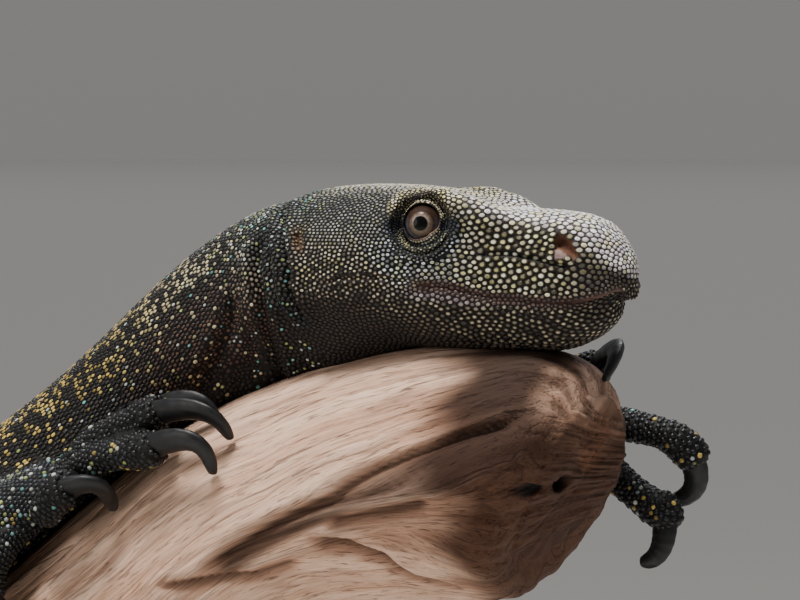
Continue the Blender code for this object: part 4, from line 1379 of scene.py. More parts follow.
def build_claw(name, places, material):
    """A hooked claw: deep and narrow at its base, ridged along its back, down to a blunt tip."""
    start, bend, tip = (over_branch(*k) for k in places[-3:])
    start = start - unit(bend - start) * 0.0012
    t = (np.linspace(0, 1, CLAW_RINGS) ** 0.8)[:, None]
    line = start * (1 - t) ** 2 + 2 * bend * t * (1 - t) + tip * t ** 2
    forward = unit(2 * (1 - t) * (bend - start) + 2 * t * (tip - bend))
    side = unit(np.cross(bend - start, tip - bend))
    inwards = np.cross(side, forward)
    angle = turns(CLAW_AROUND)
    taper = np.maximum(1 - t, 0) ** 0.30
    high, wide = 0.0002 + CLAW_HIGH * 1.12 * taper, 0.0002 + CLAW_WIDE * 1.12 * taper
    ridge = 1 + 0.05 * bump(angle - math.pi, 0.3)
    groove = 1 - 0.16 * bump(angle, 0.35) - 0.16 * bump(angle - 2 * math.pi, 0.35)
    grown = 1 + 0.012 * np.sin(t * 46 + np.sin(angle) * 1.5)
    rings = (line[:, None] + inwards[:, None] * (np.cos(angle) * high * ridge * groove * grown)[..., None]
             + side * (np.sin(angle) * wide * grown)[..., None])
    points, quads, triangles = band(rings)
    obj = add_mesh(f"horn_{name}", points, [quads, triangles], material)
    turn = np.tile(angle * 0.003, CLAW_RINGS)
    length = np.repeat(t[:, 0] * CLAW_LENGTH, CLAW_AROUND)
    add_uv(obj.data, "Grain", np.stack([np.append(length, (0, CLAW_LENGTH)), np.append(turn, (0, 0))], -1))
    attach(obj, "root")
    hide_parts(f"claw_{name}")


def turned(name, profile, centre, material, around=64):
    """A solid turned about an upright axis from a profile of radius and height."""
    angle = turns(around)
    rings = [np.column_stack([centre[0] + r * np.cos(angle), centre[1] + r * np.sin(angle),
                              np.full(around, z)]) for r, z in profile]
    points, quads, triangles = band(np.array(rings))
    return add_mesh(name, points, [quads, triangles], material)


def plate_profile(thick):
    """The plate's moulded edge from its foot to its top: inset, negative inwards, and height."""
    profile = [(-0.0015, 0.0), (0.0, 0.0015), (0.0, 0.0095), (-0.0008, 0.0103), (-0.0008, 0.0112),
               (-0.0018, 0.0118)]
    for a in np.linspace(0, math.pi / 2, 8)[1:]:
        profile.append((-0.0018 - 0.0052 * math.sin(a), 0.0118 + 0.0055 * (1 - math.cos(a))))
    return profile + [(-0.0085, thick - 0.0004), (-0.0095, thick)]


def build_plate():
    """The stand's plate, with round corners and a moulded edge."""
    low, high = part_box("stand_base")
    half = (np.array(high) - np.array(low))[:2] / 2
    corner, around = 0.045, 25
    outline = []
    for k, (sx, sy) in enumerate(((1, 1), (-1, 1), (-1, -1), (1, -1))):
        for a in np.linspace(k * math.pi / 2, (k + 1) * math.pi / 2, around):
            outline.append((sx * (half[0] - corner), sy * (half[1] - corner), math.cos(a), math.sin(a)))
    outline = np.array(outline)
    rings = []
    for inset, z in plate_profile(high.z):
        ring = outline[:, :2] + outline[:, 2:] * (corner + inset)
        rings.append(np.column_stack([ring, np.full(len(ring), z)]))
    points, quads, triangles = band(np.array(rings))
    plate = add_mesh("stand_plate", points, [quads, triangles], board_paint())
    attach(plate, "root")
    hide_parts("stand_base")


def build_rods():
    """Brushed steel on the two rods, and a turned collar round each where it meets the plate."""
    steel = steel_paint()
    _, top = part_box("stand_base")
    # Each collar's profile: radius, and height over the plate. None is the rod's own radius, just clear.
    profile = ((None, GAP), (0.0225, GAP), (0.0235, 0.0013), (0.0235, 0.0028), (0.0222, 0.0040),
               (0.0150, 0.0050), (0.0128, 0.0070), (0.0122, 0.0130), (0.0114, 0.0140), (None, 0.0140))
    for k in (1, 2):
        low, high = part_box(f"stand_rod_{k}")
        centre, bore = ((low.x + high.x) / 2, (low.y + high.y) / 2), (high.x - low.x) / 2 + 0.0003
        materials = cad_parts[f"stand_rod_{k}"].data.materials
        materials.clear()
        materials.append(steel)
        collar = turned(f"stand_collar_{k}", [(r or bore, top.z + z) for r, z in profile], centre, steel)
        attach(collar, "root")


def build_floor():
    """A wide pale studio floor."""
    angle = turns(96)
    rings = np.array([np.column_stack([r * np.cos(angle), r * np.sin(angle), np.full(len(angle), z)])
                      for r, z in ((60, -0.02), (60, -0.0002), (20, -0.0002), (2, -0.0002))])
    points, quads, triangles = band(rings)
    floor = add_mesh("studio_floor", points, [quads, triangles], floor_paint())


# ---- camera and light ------------------------------------------------------------------------
VIEW_AZIMUTH, VIEW_ELEVATION = math.radians(33), math.radians(2)
VIEW_WIDTH, VIEW_DISTANCE = 0.264, 1.8     # width seen at the snout's distance
AIM = (-0.0913, 0.0, -0.00165)             # centre of the view, from the snout tip


def build_camera():
    """The photo's view: from the right and a little ahead, low, and through a long lens."""
    back = np.array([math.sin(VIEW_AZIMUTH) * math.cos(VIEW_ELEVATION),
                     -math.cos(VIEW_AZIMUTH) * math.cos(VIEW_ELEVATION), math.sin(VIEW_ELEVATION)])
    data = bpy.data.cameras.new("camera")
    data.sensor_width = 36
    data.lens = data.sensor_width * VIEW_DISTANCE / VIEW_WIDTH
    data.clip_end = 100
    camera = bpy.data.objects.new("camera", data)
    camera.location = SNOUT + AIM + back * VIEW_DISTANCE
    camera.rotation_mode = "QUATERNION"
    camera.rotation_quaternion = Vector(-back).to_track_quat("-Z", "Y")
    bpy.context.scene.collection.objects.link(camera)
    bpy.context.scene.camera = camera


def area_light(name, place, target, size, power, colour):
    """A round soft light that points at a target."""
    data = bpy.data.lights.new(name, "AREA")
    data.shape, data.size, data.energy, data.color = "DISK", size, power, colour
    lamp = bpy.data.objects.new(name, data)
    lamp.location = place
    lamp.rotation_mode = "QUATERNION"
    lamp.rotation_quaternion = (Vector(target) - Vector(place)).to_track_quat("-Z", "Y")
    bpy.context.scene.collection.objects.link(lamp)


def build_world():
    """Even studio surroundings, paler overhead."""
    world = bpy.data.worlds.new("studio")
    world.use_nodes = True
    tree = world.node_tree
    sky = tree.nodes["Background"]
    place = tree.nodes.new("ShaderNodeTexCoord").outputs["Generated"]
    height = tree.nodes.new("ShaderNodeSeparateXYZ")
    tree.links.new(place, height.inputs["Vector"])
    ramp = tree.nodes.new("ShaderNodeValToRGB")
    tree.links.new(height.outputs["Z"], ramp.inputs["Fac"])
    for element, colour in zip(ramp.color_ramp.elements, ((0.46, 0.455, 0.445, 1), (0.80, 0.80, 0.81, 1))):
        element.color = colour
    tree.links.new(ramp.outputs["Color"], sky.inputs["Color"])
    sky.inputs["Strength"].default_value = 0.47
    bpy.context.scene.world = world


def build_light():
    """A soft key from above, a rim light from behind, and a weak fill on the branch."""
    target = SNOUT + (-0.12, 0, -0.03)
    area_light("key", (0.25, -0.66, 2.2), target, 0.60, 50, (1.0, 0.97, 0.93))
    area_light("rim", (0.2, 1.0, 2.0), target, 0.8, 16, (0.95, 0.97, 1.0))
    area_light("fill", (-0.35, -1.50, 0.75), target + (-0.10, 0, -0.06), 1.0, 6, (1.0, 0.97, 0.94))
    build_world()


# ---- scales ----------------------------------------------------------------------------------
SCALE_GAP = 0.00010                        # half of the bare skin between two scales
UNEVEN = 0.20                              # how far scales stray from their rows, as a share of their width
LID_BEAD, LID_ROWS = 0.00098, (0.0009, 0.0019)  # pitch of the lids' beads, and their rows outside the edge
ROOT_DEPTH = 0.30                          # how deep a scale's root is, as a share of its height
PATCH = 0.0014                             # half the width of a scale's patch on the OFBake map
NEIGHBOURS = 8                             # that shape a scale's outline
CLOSEST, FILLED = 0.66, 0.86               # least distance between scales in rows, and round those filled in
BODY_SETTLE, LIMB_SETTLE = 0.0120, 0.0030  # how far off the skin a seed may be
# Width of the scales on a leg's upper and lower lengths, its foot and its digits.
FORE_SCALES, HIND_SCALES = (0.0028, 0.0021, 0.0019, 0.0019), (0.0032, 0.0029, 0.0024, 0.0021)


def tube_place(tube, points):
    """Distance along a tube, angle round it and the way back along it, for points near it."""
    middle = tube.path.at(tube.knots)
    nearest = np.argmin(((points[:, None] - middle) ** 2).sum(-1), 1)
    forward = unit(np.gradient(middle, axis=0))
    s = tube.knots[nearest] + dots(points - middle[nearest], forward[nearest])
    off = points - tube.path.at(s)
    angle = np.arctan2(dots(off, tube.rise[nearest]) / tube.flat, dots(off, tube.side[nearest]))
    return s, angle, -forward[nearest]


class Ground:
    """The finished skin, read at any place: nearest point, smooth normal, and the nearest mesh point."""

    def __init__(self, skin):
        self.skin = skin
        skin.mesh.calc_loop_triangles()
        self.triangles = read(skin.mesh.loop_triangles, "vertices", 3, np.int32)
        self.tree = BVHTree.FromPolygons(skin.points.tolist(), self.triangles.tolist())

    def settle(self, points):
        """The nearest places on the skin, their normals, mesh points and how far each was away."""
        place = np.empty_like(points)
        face, away = np.empty(len(points), int), np.empty(len(points))
        for i, p in enumerate(points.tolist()):
            co, _, face[i], away[i] = self.tree.find_nearest(p)
            place[i] = co
        corners = self.triangles[face]
        gap = np.linalg.norm(self.skin.points[corners] - place[:, None], axis=2)
        share = 1 / (gap + 1e-5)
        normal = unit((self.skin.normals[corners] * share[..., None]).sum(1))
        return place, normal, corners[np.arange(len(points)), gap.argmin(1)], away


def packed(candidates, sizes, order, taken, taken_sizes, closeness):
    """Picks candidates in order, each clear of the taken places and of those picked before it."""
    tree = tree_of(candidates)
    free = np.ones(len(candidates), bool)
    for p, size in zip(taken.tolist(), taken_sizes.tolist()):
        for _, j, _ in tree.find_range(p, size * closeness):
            free[j] = False
    picked = []
    for i in order.tolist():
        if free[i]:
            picked.append(i)
            for _, j, _ in tree.find_range(candidates[i], sizes[i] * closeness):
                free[j] = False
    return np.array(picked, int)


def thinned(points, sizes, closeness):
    """Which points stay when each must be clear of those before it."""
    tree = tree_of(points)
    keep = np.ones(len(points), bool)
    for i, p in enumerate(points.tolist()):
        if keep[i]:
            for _, j, _ in tree.find_range(p, sizes[i] * closeness):
                if j > i:
                    keep[j] = False
    return keep


def stretched(s):
    """How much longer than wide the head's scales are: most on the snout, none at its tip."""
    return 1 + (0.45 - 0.12 * step(s, 0.055, 0.080)) * step(s, 0.004, 0.014) * (1 - step(s, 0.118, 0.138))


def shortened(points):
    """Head points with its length drawn in where the scales are long, so that they pack as if round."""
    s = np.linspace(0, 0.3, 600)
    drawn = np.concatenate([[0], np.cumsum(np.diff(s) / stretched((s[1:] + s[:-1]) / 2))])
    return np.column_stack([-np.interp(SNOUT[0] - points[:, 0], s, drawn), points[:, 1:]])


def head_size(s, degrees, eye_gap, mouth_gap):
    """Width of the head's scales: plates on the snout, small beads on the temple, granules by the eye."""
    top = 1 - step(degrees, 38, 58)
    jaw = step(degrees, 98, 112)
    snout = 1 - step(s, 0.046, 0.066)
    front = 1 - step(s, 0.003, 0.013)
    temple = step(s, 0.068, 0.082) * (1 - step(degrees, 70, 92))
    size = 0.00148 - 0.00032 * temple * (1 - 0.5 * top)
    size = size + (0.00215 - 0.00020 * top - size) * snout
    size = size + (0.0015 - size) * front
    size = size + (0.00185 - 0.0004 * step(s, 0.05, 0.10) - size) * jaw * (1 - front)
    size = size + (0.0012 - size) * (1 - step(mouth_gap, 0.0014, 0.0028))
    near = 1 - step(eye_gap, 0.0095, 0.0124)
    return size + (0.00092 - size) * near


def body_size(s):
    """Width of the scales on the neck, trunk and tail."""
    return np.interp(s, (0.10, 0.15, 0.20, NECK_END, 0.36, 0.60, SVL, 1.0, 1.5, TOTAL),
                     (0.0016, 0.0015, 0.0015, 0.0017, 0.0028, 0.0034, 0.0034, 0.0034, 0.0030, 0.0018))


def neck_long(s):
    """How much longer than wide the neck's scales are."""
    return 1 + 0.45 * step(s, HEAD_REACH, 0.160) * (1 - step(s, 0.30, 0.36))


def limb_size(part):
    """Width of the scales on a length of limb."""
    sizes = FORE_SCALES if LIMB_OF_PART[part].startswith("fore") else HIND_SCALES
    return sizes[min(TUBE_OF_PART[part], 3)]


def skin_sizes(part, s, degrees, points):
    """Width of the scale that would stand at each place."""
    size = body_size(s)
    head = (part == 0) & (s < HEAD_REACH + 0.01)
    if head.any():
        rho, _ = eye_turns(points[head])
        gap, _, _ = to_line(points[head], mouth_line())
        own = head_size(s[head], np.abs(degrees[head]), rho, gap)
        neck = step(s[head], 0.108, 0.128)
        size[head] = own * (1 - neck) + size[head] * neck
    for k in np.unique(part[part > 0]):
        size[part == k] = limb_size(k)
    return size


def lid_rows(side, off, pitch):
    """A ring of beads round an eye, at a distance outside the lids' edge."""
    centre, gaze, ahead, up = eye_frame(side)
    turn = np.linspace(-math.pi, math.pi, 400)
    ring = (lid_edge(turn) + off)[:, None] * np.column_stack([np.cos(turn), np.sin(turn)])
    far = distances(ring)
    even = np.interp(np.linspace(0, far[-1], int(far[-1] / pitch), endpoint=False), far, turn)
    rho = (lid_edge(even) + off)[:, None]
    way = np.cos(even)[:, None] * ahead + np.sin(even)[:, None] * up
    return centre + way * rho + gaze * over_ball(rho, LID_RADIUS)


def bare(points):
    """Where no scale stands: in the lids' opening, the nostrils, the mouth's line and the ears."""
    gap, share, _ = to_line(points, mouth_line())
    tip = step(from_corner(share), 0.62, 0.86)
    hidden = (gap < 0.00055 + 0.0006 * tip) & (share > 0.01) & (share < 0.99)
    for side in (-1, 1):
        rho, turn, out = around_eye(points, side)
        hidden |= (rho < lid_edge(turn) + 0.00045) & (out > 0) & (out < ORBIT_OUT)
        for depth in (COAT, NOSTRIL_DEEP):
            gap, share = to_side(points, NOSTRIL, side, depth)
            hidden |= gap < nostril_width(share) + 0.0002
        hidden |= spot_gap(points, NOSTRIL_RIM, side) < 0.0021
        for crease, low, high in ((NOSTRIL_CREASE, 0.05, 0.97), (EAR, 0.04, 0.96)):
            gap, share = to_side(points, crease, side)
            hidden |= (gap < 0.0009) & (share > low) & (share < high)
    return hidden


def head_candidates(skin):
    """Where the head's scales may stand: the skin's points and its faces' centres, clear of the branch."""
    near = (skin.part == 0) & (skin.s < HEAD_REACH) & ~skin.touching
    centres = read(skin.mesh.polygons, "center")
    s, angle = near_head(centres)
    high = (centres[:, 0] > SNOUT[0] - 0.14) & (centres[:, 2] > SNOUT[2] - 0.05) & (s < HEAD_REACH)
    reach = np.linalg.norm(centres[high] - body_point(s[high], angle[high]), axis=1)
    extra = centres[high][reach < 0.006]
    clear, _ = near_branch(extra)
    points = np.vstack([skin.points[near], extra[clear > 0.0008]])
    return points[~bare(points)]


def head_seeds(skin):
    """Places for the head's scales: rings on the lids, then the rest from lips and lids on, evened out."""
    points = head_candidates(skin)
    s, angle = near_head(points)
    sizes = skin_sizes(np.zeros(len(points), int), s, np.degrees(angle), points)
    fixed = np.vstack([lid_rows(side, off, LID_BEAD) for side in (-1, 1) for off in LID_ROWS])
    rho, _ = eye_turns(points)
    gap, _, _ = to_line(points, mouth_line())
    first = np.minimum(gap, np.maximum(rho - 0.006, 0) * 0.8)
    order = np.argsort(first + 0.0002 * rng.random(len(points)))
    flat = shortened(points)
    seeds, seed_sizes = fixed, np.full(len(fixed), LID_BEAD)
    for closeness, rounds in ((0.86, 3), (0.80, 1)):
        picked = packed(flat, sizes, order, shortened(seeds), seed_sizes, closeness)
        seeds = np.vstack([seeds, points[picked]])
        seed_sizes = np.concatenate([seed_sizes, sizes[picked]])
        for _ in range(rounds):
            seeds = evened(seeds, points, flat, len(fixed))
    return seeds


def evened(seeds, points, flat, fixed):
    """Moves each seed but the fixed ones to the middle of the points nearest to it."""
    tree = tree_of(shortened(seeds))
    owner = np.array([tree.find(p)[1] for p in flat.tolist()])
    count = np.bincount(owner, minlength=len(seeds))
    middle = np.stack([np.bincount(owner, points[:, k], len(seeds)) for k in range(3)], -1)
    move = (np.arange(len(seeds)) >= fixed) & (count > 1)
    seeds = seeds.copy()
    seeds[move] = middle[move] / count[move, None]
    return seeds


def ring_angles(s, count, shift):
    """Angles that share a ring of the body evenly, and the ring's length."""
    angle = np.linspace(-math.pi, math.pi, 97)
    far = distances(body_point(np.full(len(angle), s), angle))
    return np.interp((np.arange(count) + shift) / count * far[-1], far, angle), far[-1]


def body_seeds():
    """Staggered rows of scales across the neck, trunk and tail."""
    s, row, count, places = HEAD_REACH, 0, 0, []
    while s < TOTAL - 0.001:
        size = float(body_size(s))
        _, girth = ring_angles(s, 4, 0)
        wanted = max(girth / size, 5)
        if abs(wanted - count) > 0.04 * wanted:
            count = int(round(wanted))
        angle, _ = ring_angles(s, count, 0.5 * (row % 2) + 0.25)
        places.append(np.stack([np.full(count, s), angle], -1))
        s += size * (0.88 + 0.34 * float(step(s, NECK_END, 0.9))) * float(neck_long(s))
        row += 1
    place = np.vstack(places)
    loose = body_size(place[:, 0]) * UNEVEN * (1 - 0.6 * step(place[:, 0], 0.30, 0.40))
    shift = loose[:, None] * (2 * rng.random(place.shape) - 1)
    neck_radius = 0.026
    return body_point(place[:, 0] + shift[:, 0] * 1.4, place[:, 1] + shift[:, 1] / neck_radius, -COAT)


def limb_seeds(part):
    """Staggered rings of scales along one length of limb."""
    tube, size = ALL_TUBES[part - 1], limb_size(part)
    rows = []
    for row, s in enumerate(np.arange(tube.low + size * 0.3, tube.high, size * 0.88)):
        girth = 2 * math.pi * float(tube.radius(s)) * (1 + tube.flat) / 2
        count = max(4, int(round(girth / size)))
        angle = (np.arange(count) + 0.5 * (row % 2)) / count * 2 * math.pi
        rows.append(np.stack([np.full(count, s), angle], -1))
    place = np.vstack(rows)
    shift = 0.5 * UNEVEN * size * (2 * rng.random(place.shape) - 1)
    return tube.point(place[:, 0] + shift[:, 0], place[:, 1] + shift[:, 1] / tube.radius(0.0), -COAT)


def settled_seeds(skin):
    """Places, normals and nearest skin points of all rows of seeds, each on its own part and clear of the
    branch."""
    ground = Ground(skin)
    place, normal, vertex, _ = ground.settle(head_seeds(skin))
    keep = ~skin.touching[vertex]
    groups = [(place[keep], normal[keep], vertex[keep])]
    limbs = sorted(range(1, len(ALL_TUBES) + 1), key=lambda part: -TUBE_OF_PART[part])
    for part in limbs + [0]:
        points, reach = (limb_seeds(part), LIMB_SETTLE) if part else (body_seeds(), BODY_SETTLE)
        place, normal, vertex, away = ground.settle(points)
        keep = (away < reach) & (skin.part[vertex] == part) & ~skin.touching[vertex]
        groups.append((place[keep], normal[keep], vertex[keep]))
    return (np.concatenate([group[k] for group in groups]) for k in range(3))


class Scales:
    """Every scale's place, normal, way along the body, size and colours."""

    def __init__(self, skin):
        place, normal, vertex = settled_seeds(skin)

        def sizes_at(points, nearest):
            return skin_sizes(skin.part[nearest], skin.s[nearest], skin.degrees[nearest], points)

        sizes = sizes_at(place, vertex)
        keep = thinned(place, sizes, CLOSEST)
        place, normal, vertex, sizes = place[keep], normal[keep], vertex[keep], sizes[keep]
        # What the rows leave open behind the head is filled from the skin's own points.
        spare = np.flatnonzero(~skin.touching & ~((skin.part == 0) & (skin.s < HEAD_REACH - 0.003)))
        spare_points = skin.points[spare]
        spare_sizes = sizes_at(spare_points, spare)
        picked = packed(spare_points, spare_sizes, np.argsort(spare_points[:, 0]), place, sizes, FILLED)
        self.place = np.vstack([place, spare_points[picked]])
        self.normal = np.vstack([normal, skin.normals[spare[picked]]])
        self.vertex = np.concatenate([vertex, spare[picked]])
        self.size = np.concatenate([sizes, spare_sizes[picked]])
        self.part = skin.part[self.vertex]
        self.read_places()

    def read_places(self):
        """Each scale's own coordinates on its part, and the way towards the tail or the digit's end."""
        count = len(self.place)
        self.s, self.angle, self.back = np.zeros(count), np.zeros(count), np.zeros((count, 3))
        body = self.part == 0
        guess = first_guess(self.place[body])
        self.s[body], self.angle[body] = body_place(self.place[body], guess)
        self.back[body] = SPINE_PATH.tangent(self.s[body])
        for part, tube in enumerate(ALL_TUBES, 1):
            mine = self.part == part
            if mine.any():
                self.s[mine], self.angle[mine], self.back[mine] = tube_place(tube, self.place[mine])
        self.degrees = np.degrees(self.angle)


def outlines(scales, chosen, tree, corners):
    """Each chosen scale's outline: offsets to its edge at even turns, halfway to its neighbours."""
    turn = np.arange(corners) / corners * 2 * math.pi
    found = np.zeros((len(chosen), NEIGHBOURS), int)
    for row, i in enumerate(chosen.tolist()):
        hits = [j for _, j, _ in tree.find_n(scales.place[i], NEIGHBOURS + 1)]
        found[row] = [j for j in hits if j != i][:NEIGHBOURS]
    place, normal, size = scales.place[chosen], scales.normal[chosen], scales.size[chosen]
    long, roundness = scales.long[chosen][:, None], scales.roundness[chosen][:, None]
    back = scales.back[chosen]
    along_way = unit(back - normal * dots(back, normal)[:, None])
    across_way = np.cross(normal, along_way)
    off = scales.place[found] - place[:, None]
    far_along = np.einsum("ijk,ik->ij", off, along_way) / long
    far_across = np.einsum("ijk,ik->ij", off, across_way)
    gap, bearing = np.hypot(far_along, far_across), np.arctan2(far_across, far_along)
    share = size[:, None] / (size[:, None] + scales.size[found])
    facing = np.cos(turn[None, :, None] - bearing[:, None, :])
    reach = (gap * share)[:, None, :] / np.maximum(facing, 0.12)
    radius = np.minimum(np.where(facing > 0.12, reach, 1.0).min(2), 0.62 * size[:, None])
    radius = 0.6 * radius + 0.2 * (np.roll(radius, 1, 1) + np.roll(radius, -1, 1))
    even = radius.mean(1, keepdims=True)
    radius = radius * (1 - roundness) + np.minimum(even, radius * 1.08) * roundness
    radius = np.maximum(radius - SCALE_GAP, 0.2 * size[:, None])
    return turn, (along_way[:, None] * (np.cos(turn) * radius * long)[..., None]
                  + across_way[:, None] * (np.sin(turn) * radius)[..., None])


def scale_faces(count, corners, levels, cap):
    """The sides of count scales, and their tops: a fan to one more point, or one flat face."""
    j = np.arange(corners)
    k = (j + 1) % corners
    sides = np.stack([j, k, k + corners, j + corners], -1)
    sides = np.concatenate([sides + level * corners for level in range(levels - 1)])
    top = (levels - 1) * corners
    tops = np.stack([j + top, k + top, np.full(corners, levels * corners)], -1) if cap else (j + top)[None]
    base = np.arange(count)[:, None, None] * (levels * corners + cap)
    return [(faces + base).reshape(-1, faces.shape[1]) for faces in (sides, tops)]


def build_scales(name, scales, chosen, tree, look, material):
    """One joined mesh of scales: look gives corners, height, the rings' shares and blends, and the top."""
    corners, tall, rings, cap = look
    turn, edge = outlines(scales, chosen, tree, corners)
    place, normal, dot = scales.place[chosen], scales.normal[chosen], scales.dot[chosen][:, None]
    height = scales.size[chosen] * tall * (0.85 + 0.3 * scales.chance[chosen])
    count, levels = len(chosen), len(rings)
    points = np.empty((count, levels * corners + cap, 3))
    colours = np.empty_like(points)
    patch = np.empty((count, levels * corners + cap, 2))
    rim, heart, core = (tones[chosen][:, None] for tones in (scales.rim, scales.heart, scales.core))
    for level, (plain, by_dot, blend) in enumerate(rings):
        share = np.clip(plain + by_dot * dot, 0.3, 0.91 if by_dot else 1.0)
        rise = np.sqrt(1 - share ** 4) if level else np.full_like(share, -ROOT_DEPTH)
        above = (rise * height[:, None])[..., None]
        span = slice(level * corners, (level + 1) * corners)
        points[:, span] = place[:, None] + edge * share[..., None] + normal[:, None] * above
        colours[:, span] = rim * (1 - blend) + heart * blend
        patch[:, span] = np.stack([np.cos(turn), np.sin(turn)], -1) * share[..., None] * PATCH
    if cap:
        points[:, -1] = place + normal * height[:, None]
        colours[:, -1] = core[:, 0]
        patch[:, -1] = 0
    patch += scales.root[chosen][:, None]
    obj = add_mesh(name, points.reshape(-1, 3), scale_faces(count, corners, levels, cap), material)
    colour_by(obj.data, colours.reshape(-1, 3))
    add_uv(obj.data, "OFBake", patch.reshape(-1, 2))
    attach(obj, "root")


# Corners, height as a share of the width, rings, and 1 for a point on top. A ring is its share of the
# outline, its share of the pale dot's size, and how far its tone is blended to the dot's.
HEAD_LOOK = (7, 0.25, ((1.0, 0.0, 0.0), (0.93, 0.0, 0.0), (0.11, 1.0, 0.15), (-0.05, 1.0, 1.0)), 1)
NECK_LOOK = (7, 0.28, ((1.0, 0.0, 0.0), (0.06, 1.0, 0.1), (-0.10, 1.0, 1.0)), 1)
HAND_LOOK = (6, 0.28, ((1.0, 0.0, 0.0), (0.0, 1.0, 0.7)), 1)
BODY_LOOK = (6, 0.20, ((1.0, 0.0, 0.0), (0.0, 1.0, 0.8)), 0)
# Pieces along the body: from and to which distance from the snout, and the scales' look.
BODY_PIECES = (
    ("head_scales_front", 0.0, 0.060, HEAD_LOOK),
    ("head_scales_middle", 0.060, 0.100, HEAD_LOOK),
    ("head_scales_back", 0.100, HEAD_REACH, HEAD_LOOK),
    ("neck_scales_front", HEAD_REACH, 0.215, NECK_LOOK),
    ("neck_scales_rear", 0.215, NECK_SCALES_END, NECK_LOOK),
    ("trunk_scales_front", NECK_SCALES_END, 0.50, BODY_LOOK),
    ("trunk_scales_rear", 0.50, SVL, BODY_LOOK),
    ("tail_scales_front", SVL, 1.12, BODY_LOOK),
    ("tail_scales_rear", 1.12, TOTAL + 1, BODY_LOOK))


# ---- markings, with painted shade and painted glints -----------------------------------------
GOLD_RIM, GOLD, CREAM = tone(30, 24, 14), tone(206, 178, 96), tone(206, 196, 160)
# Painted highlights: tones that scales take to stand for light glinting off them.
GLINTS = np.array([tone(128, 196, 190), tone(222, 228, 216), tone(184, 196, 118), tone(200, 210, 214)])


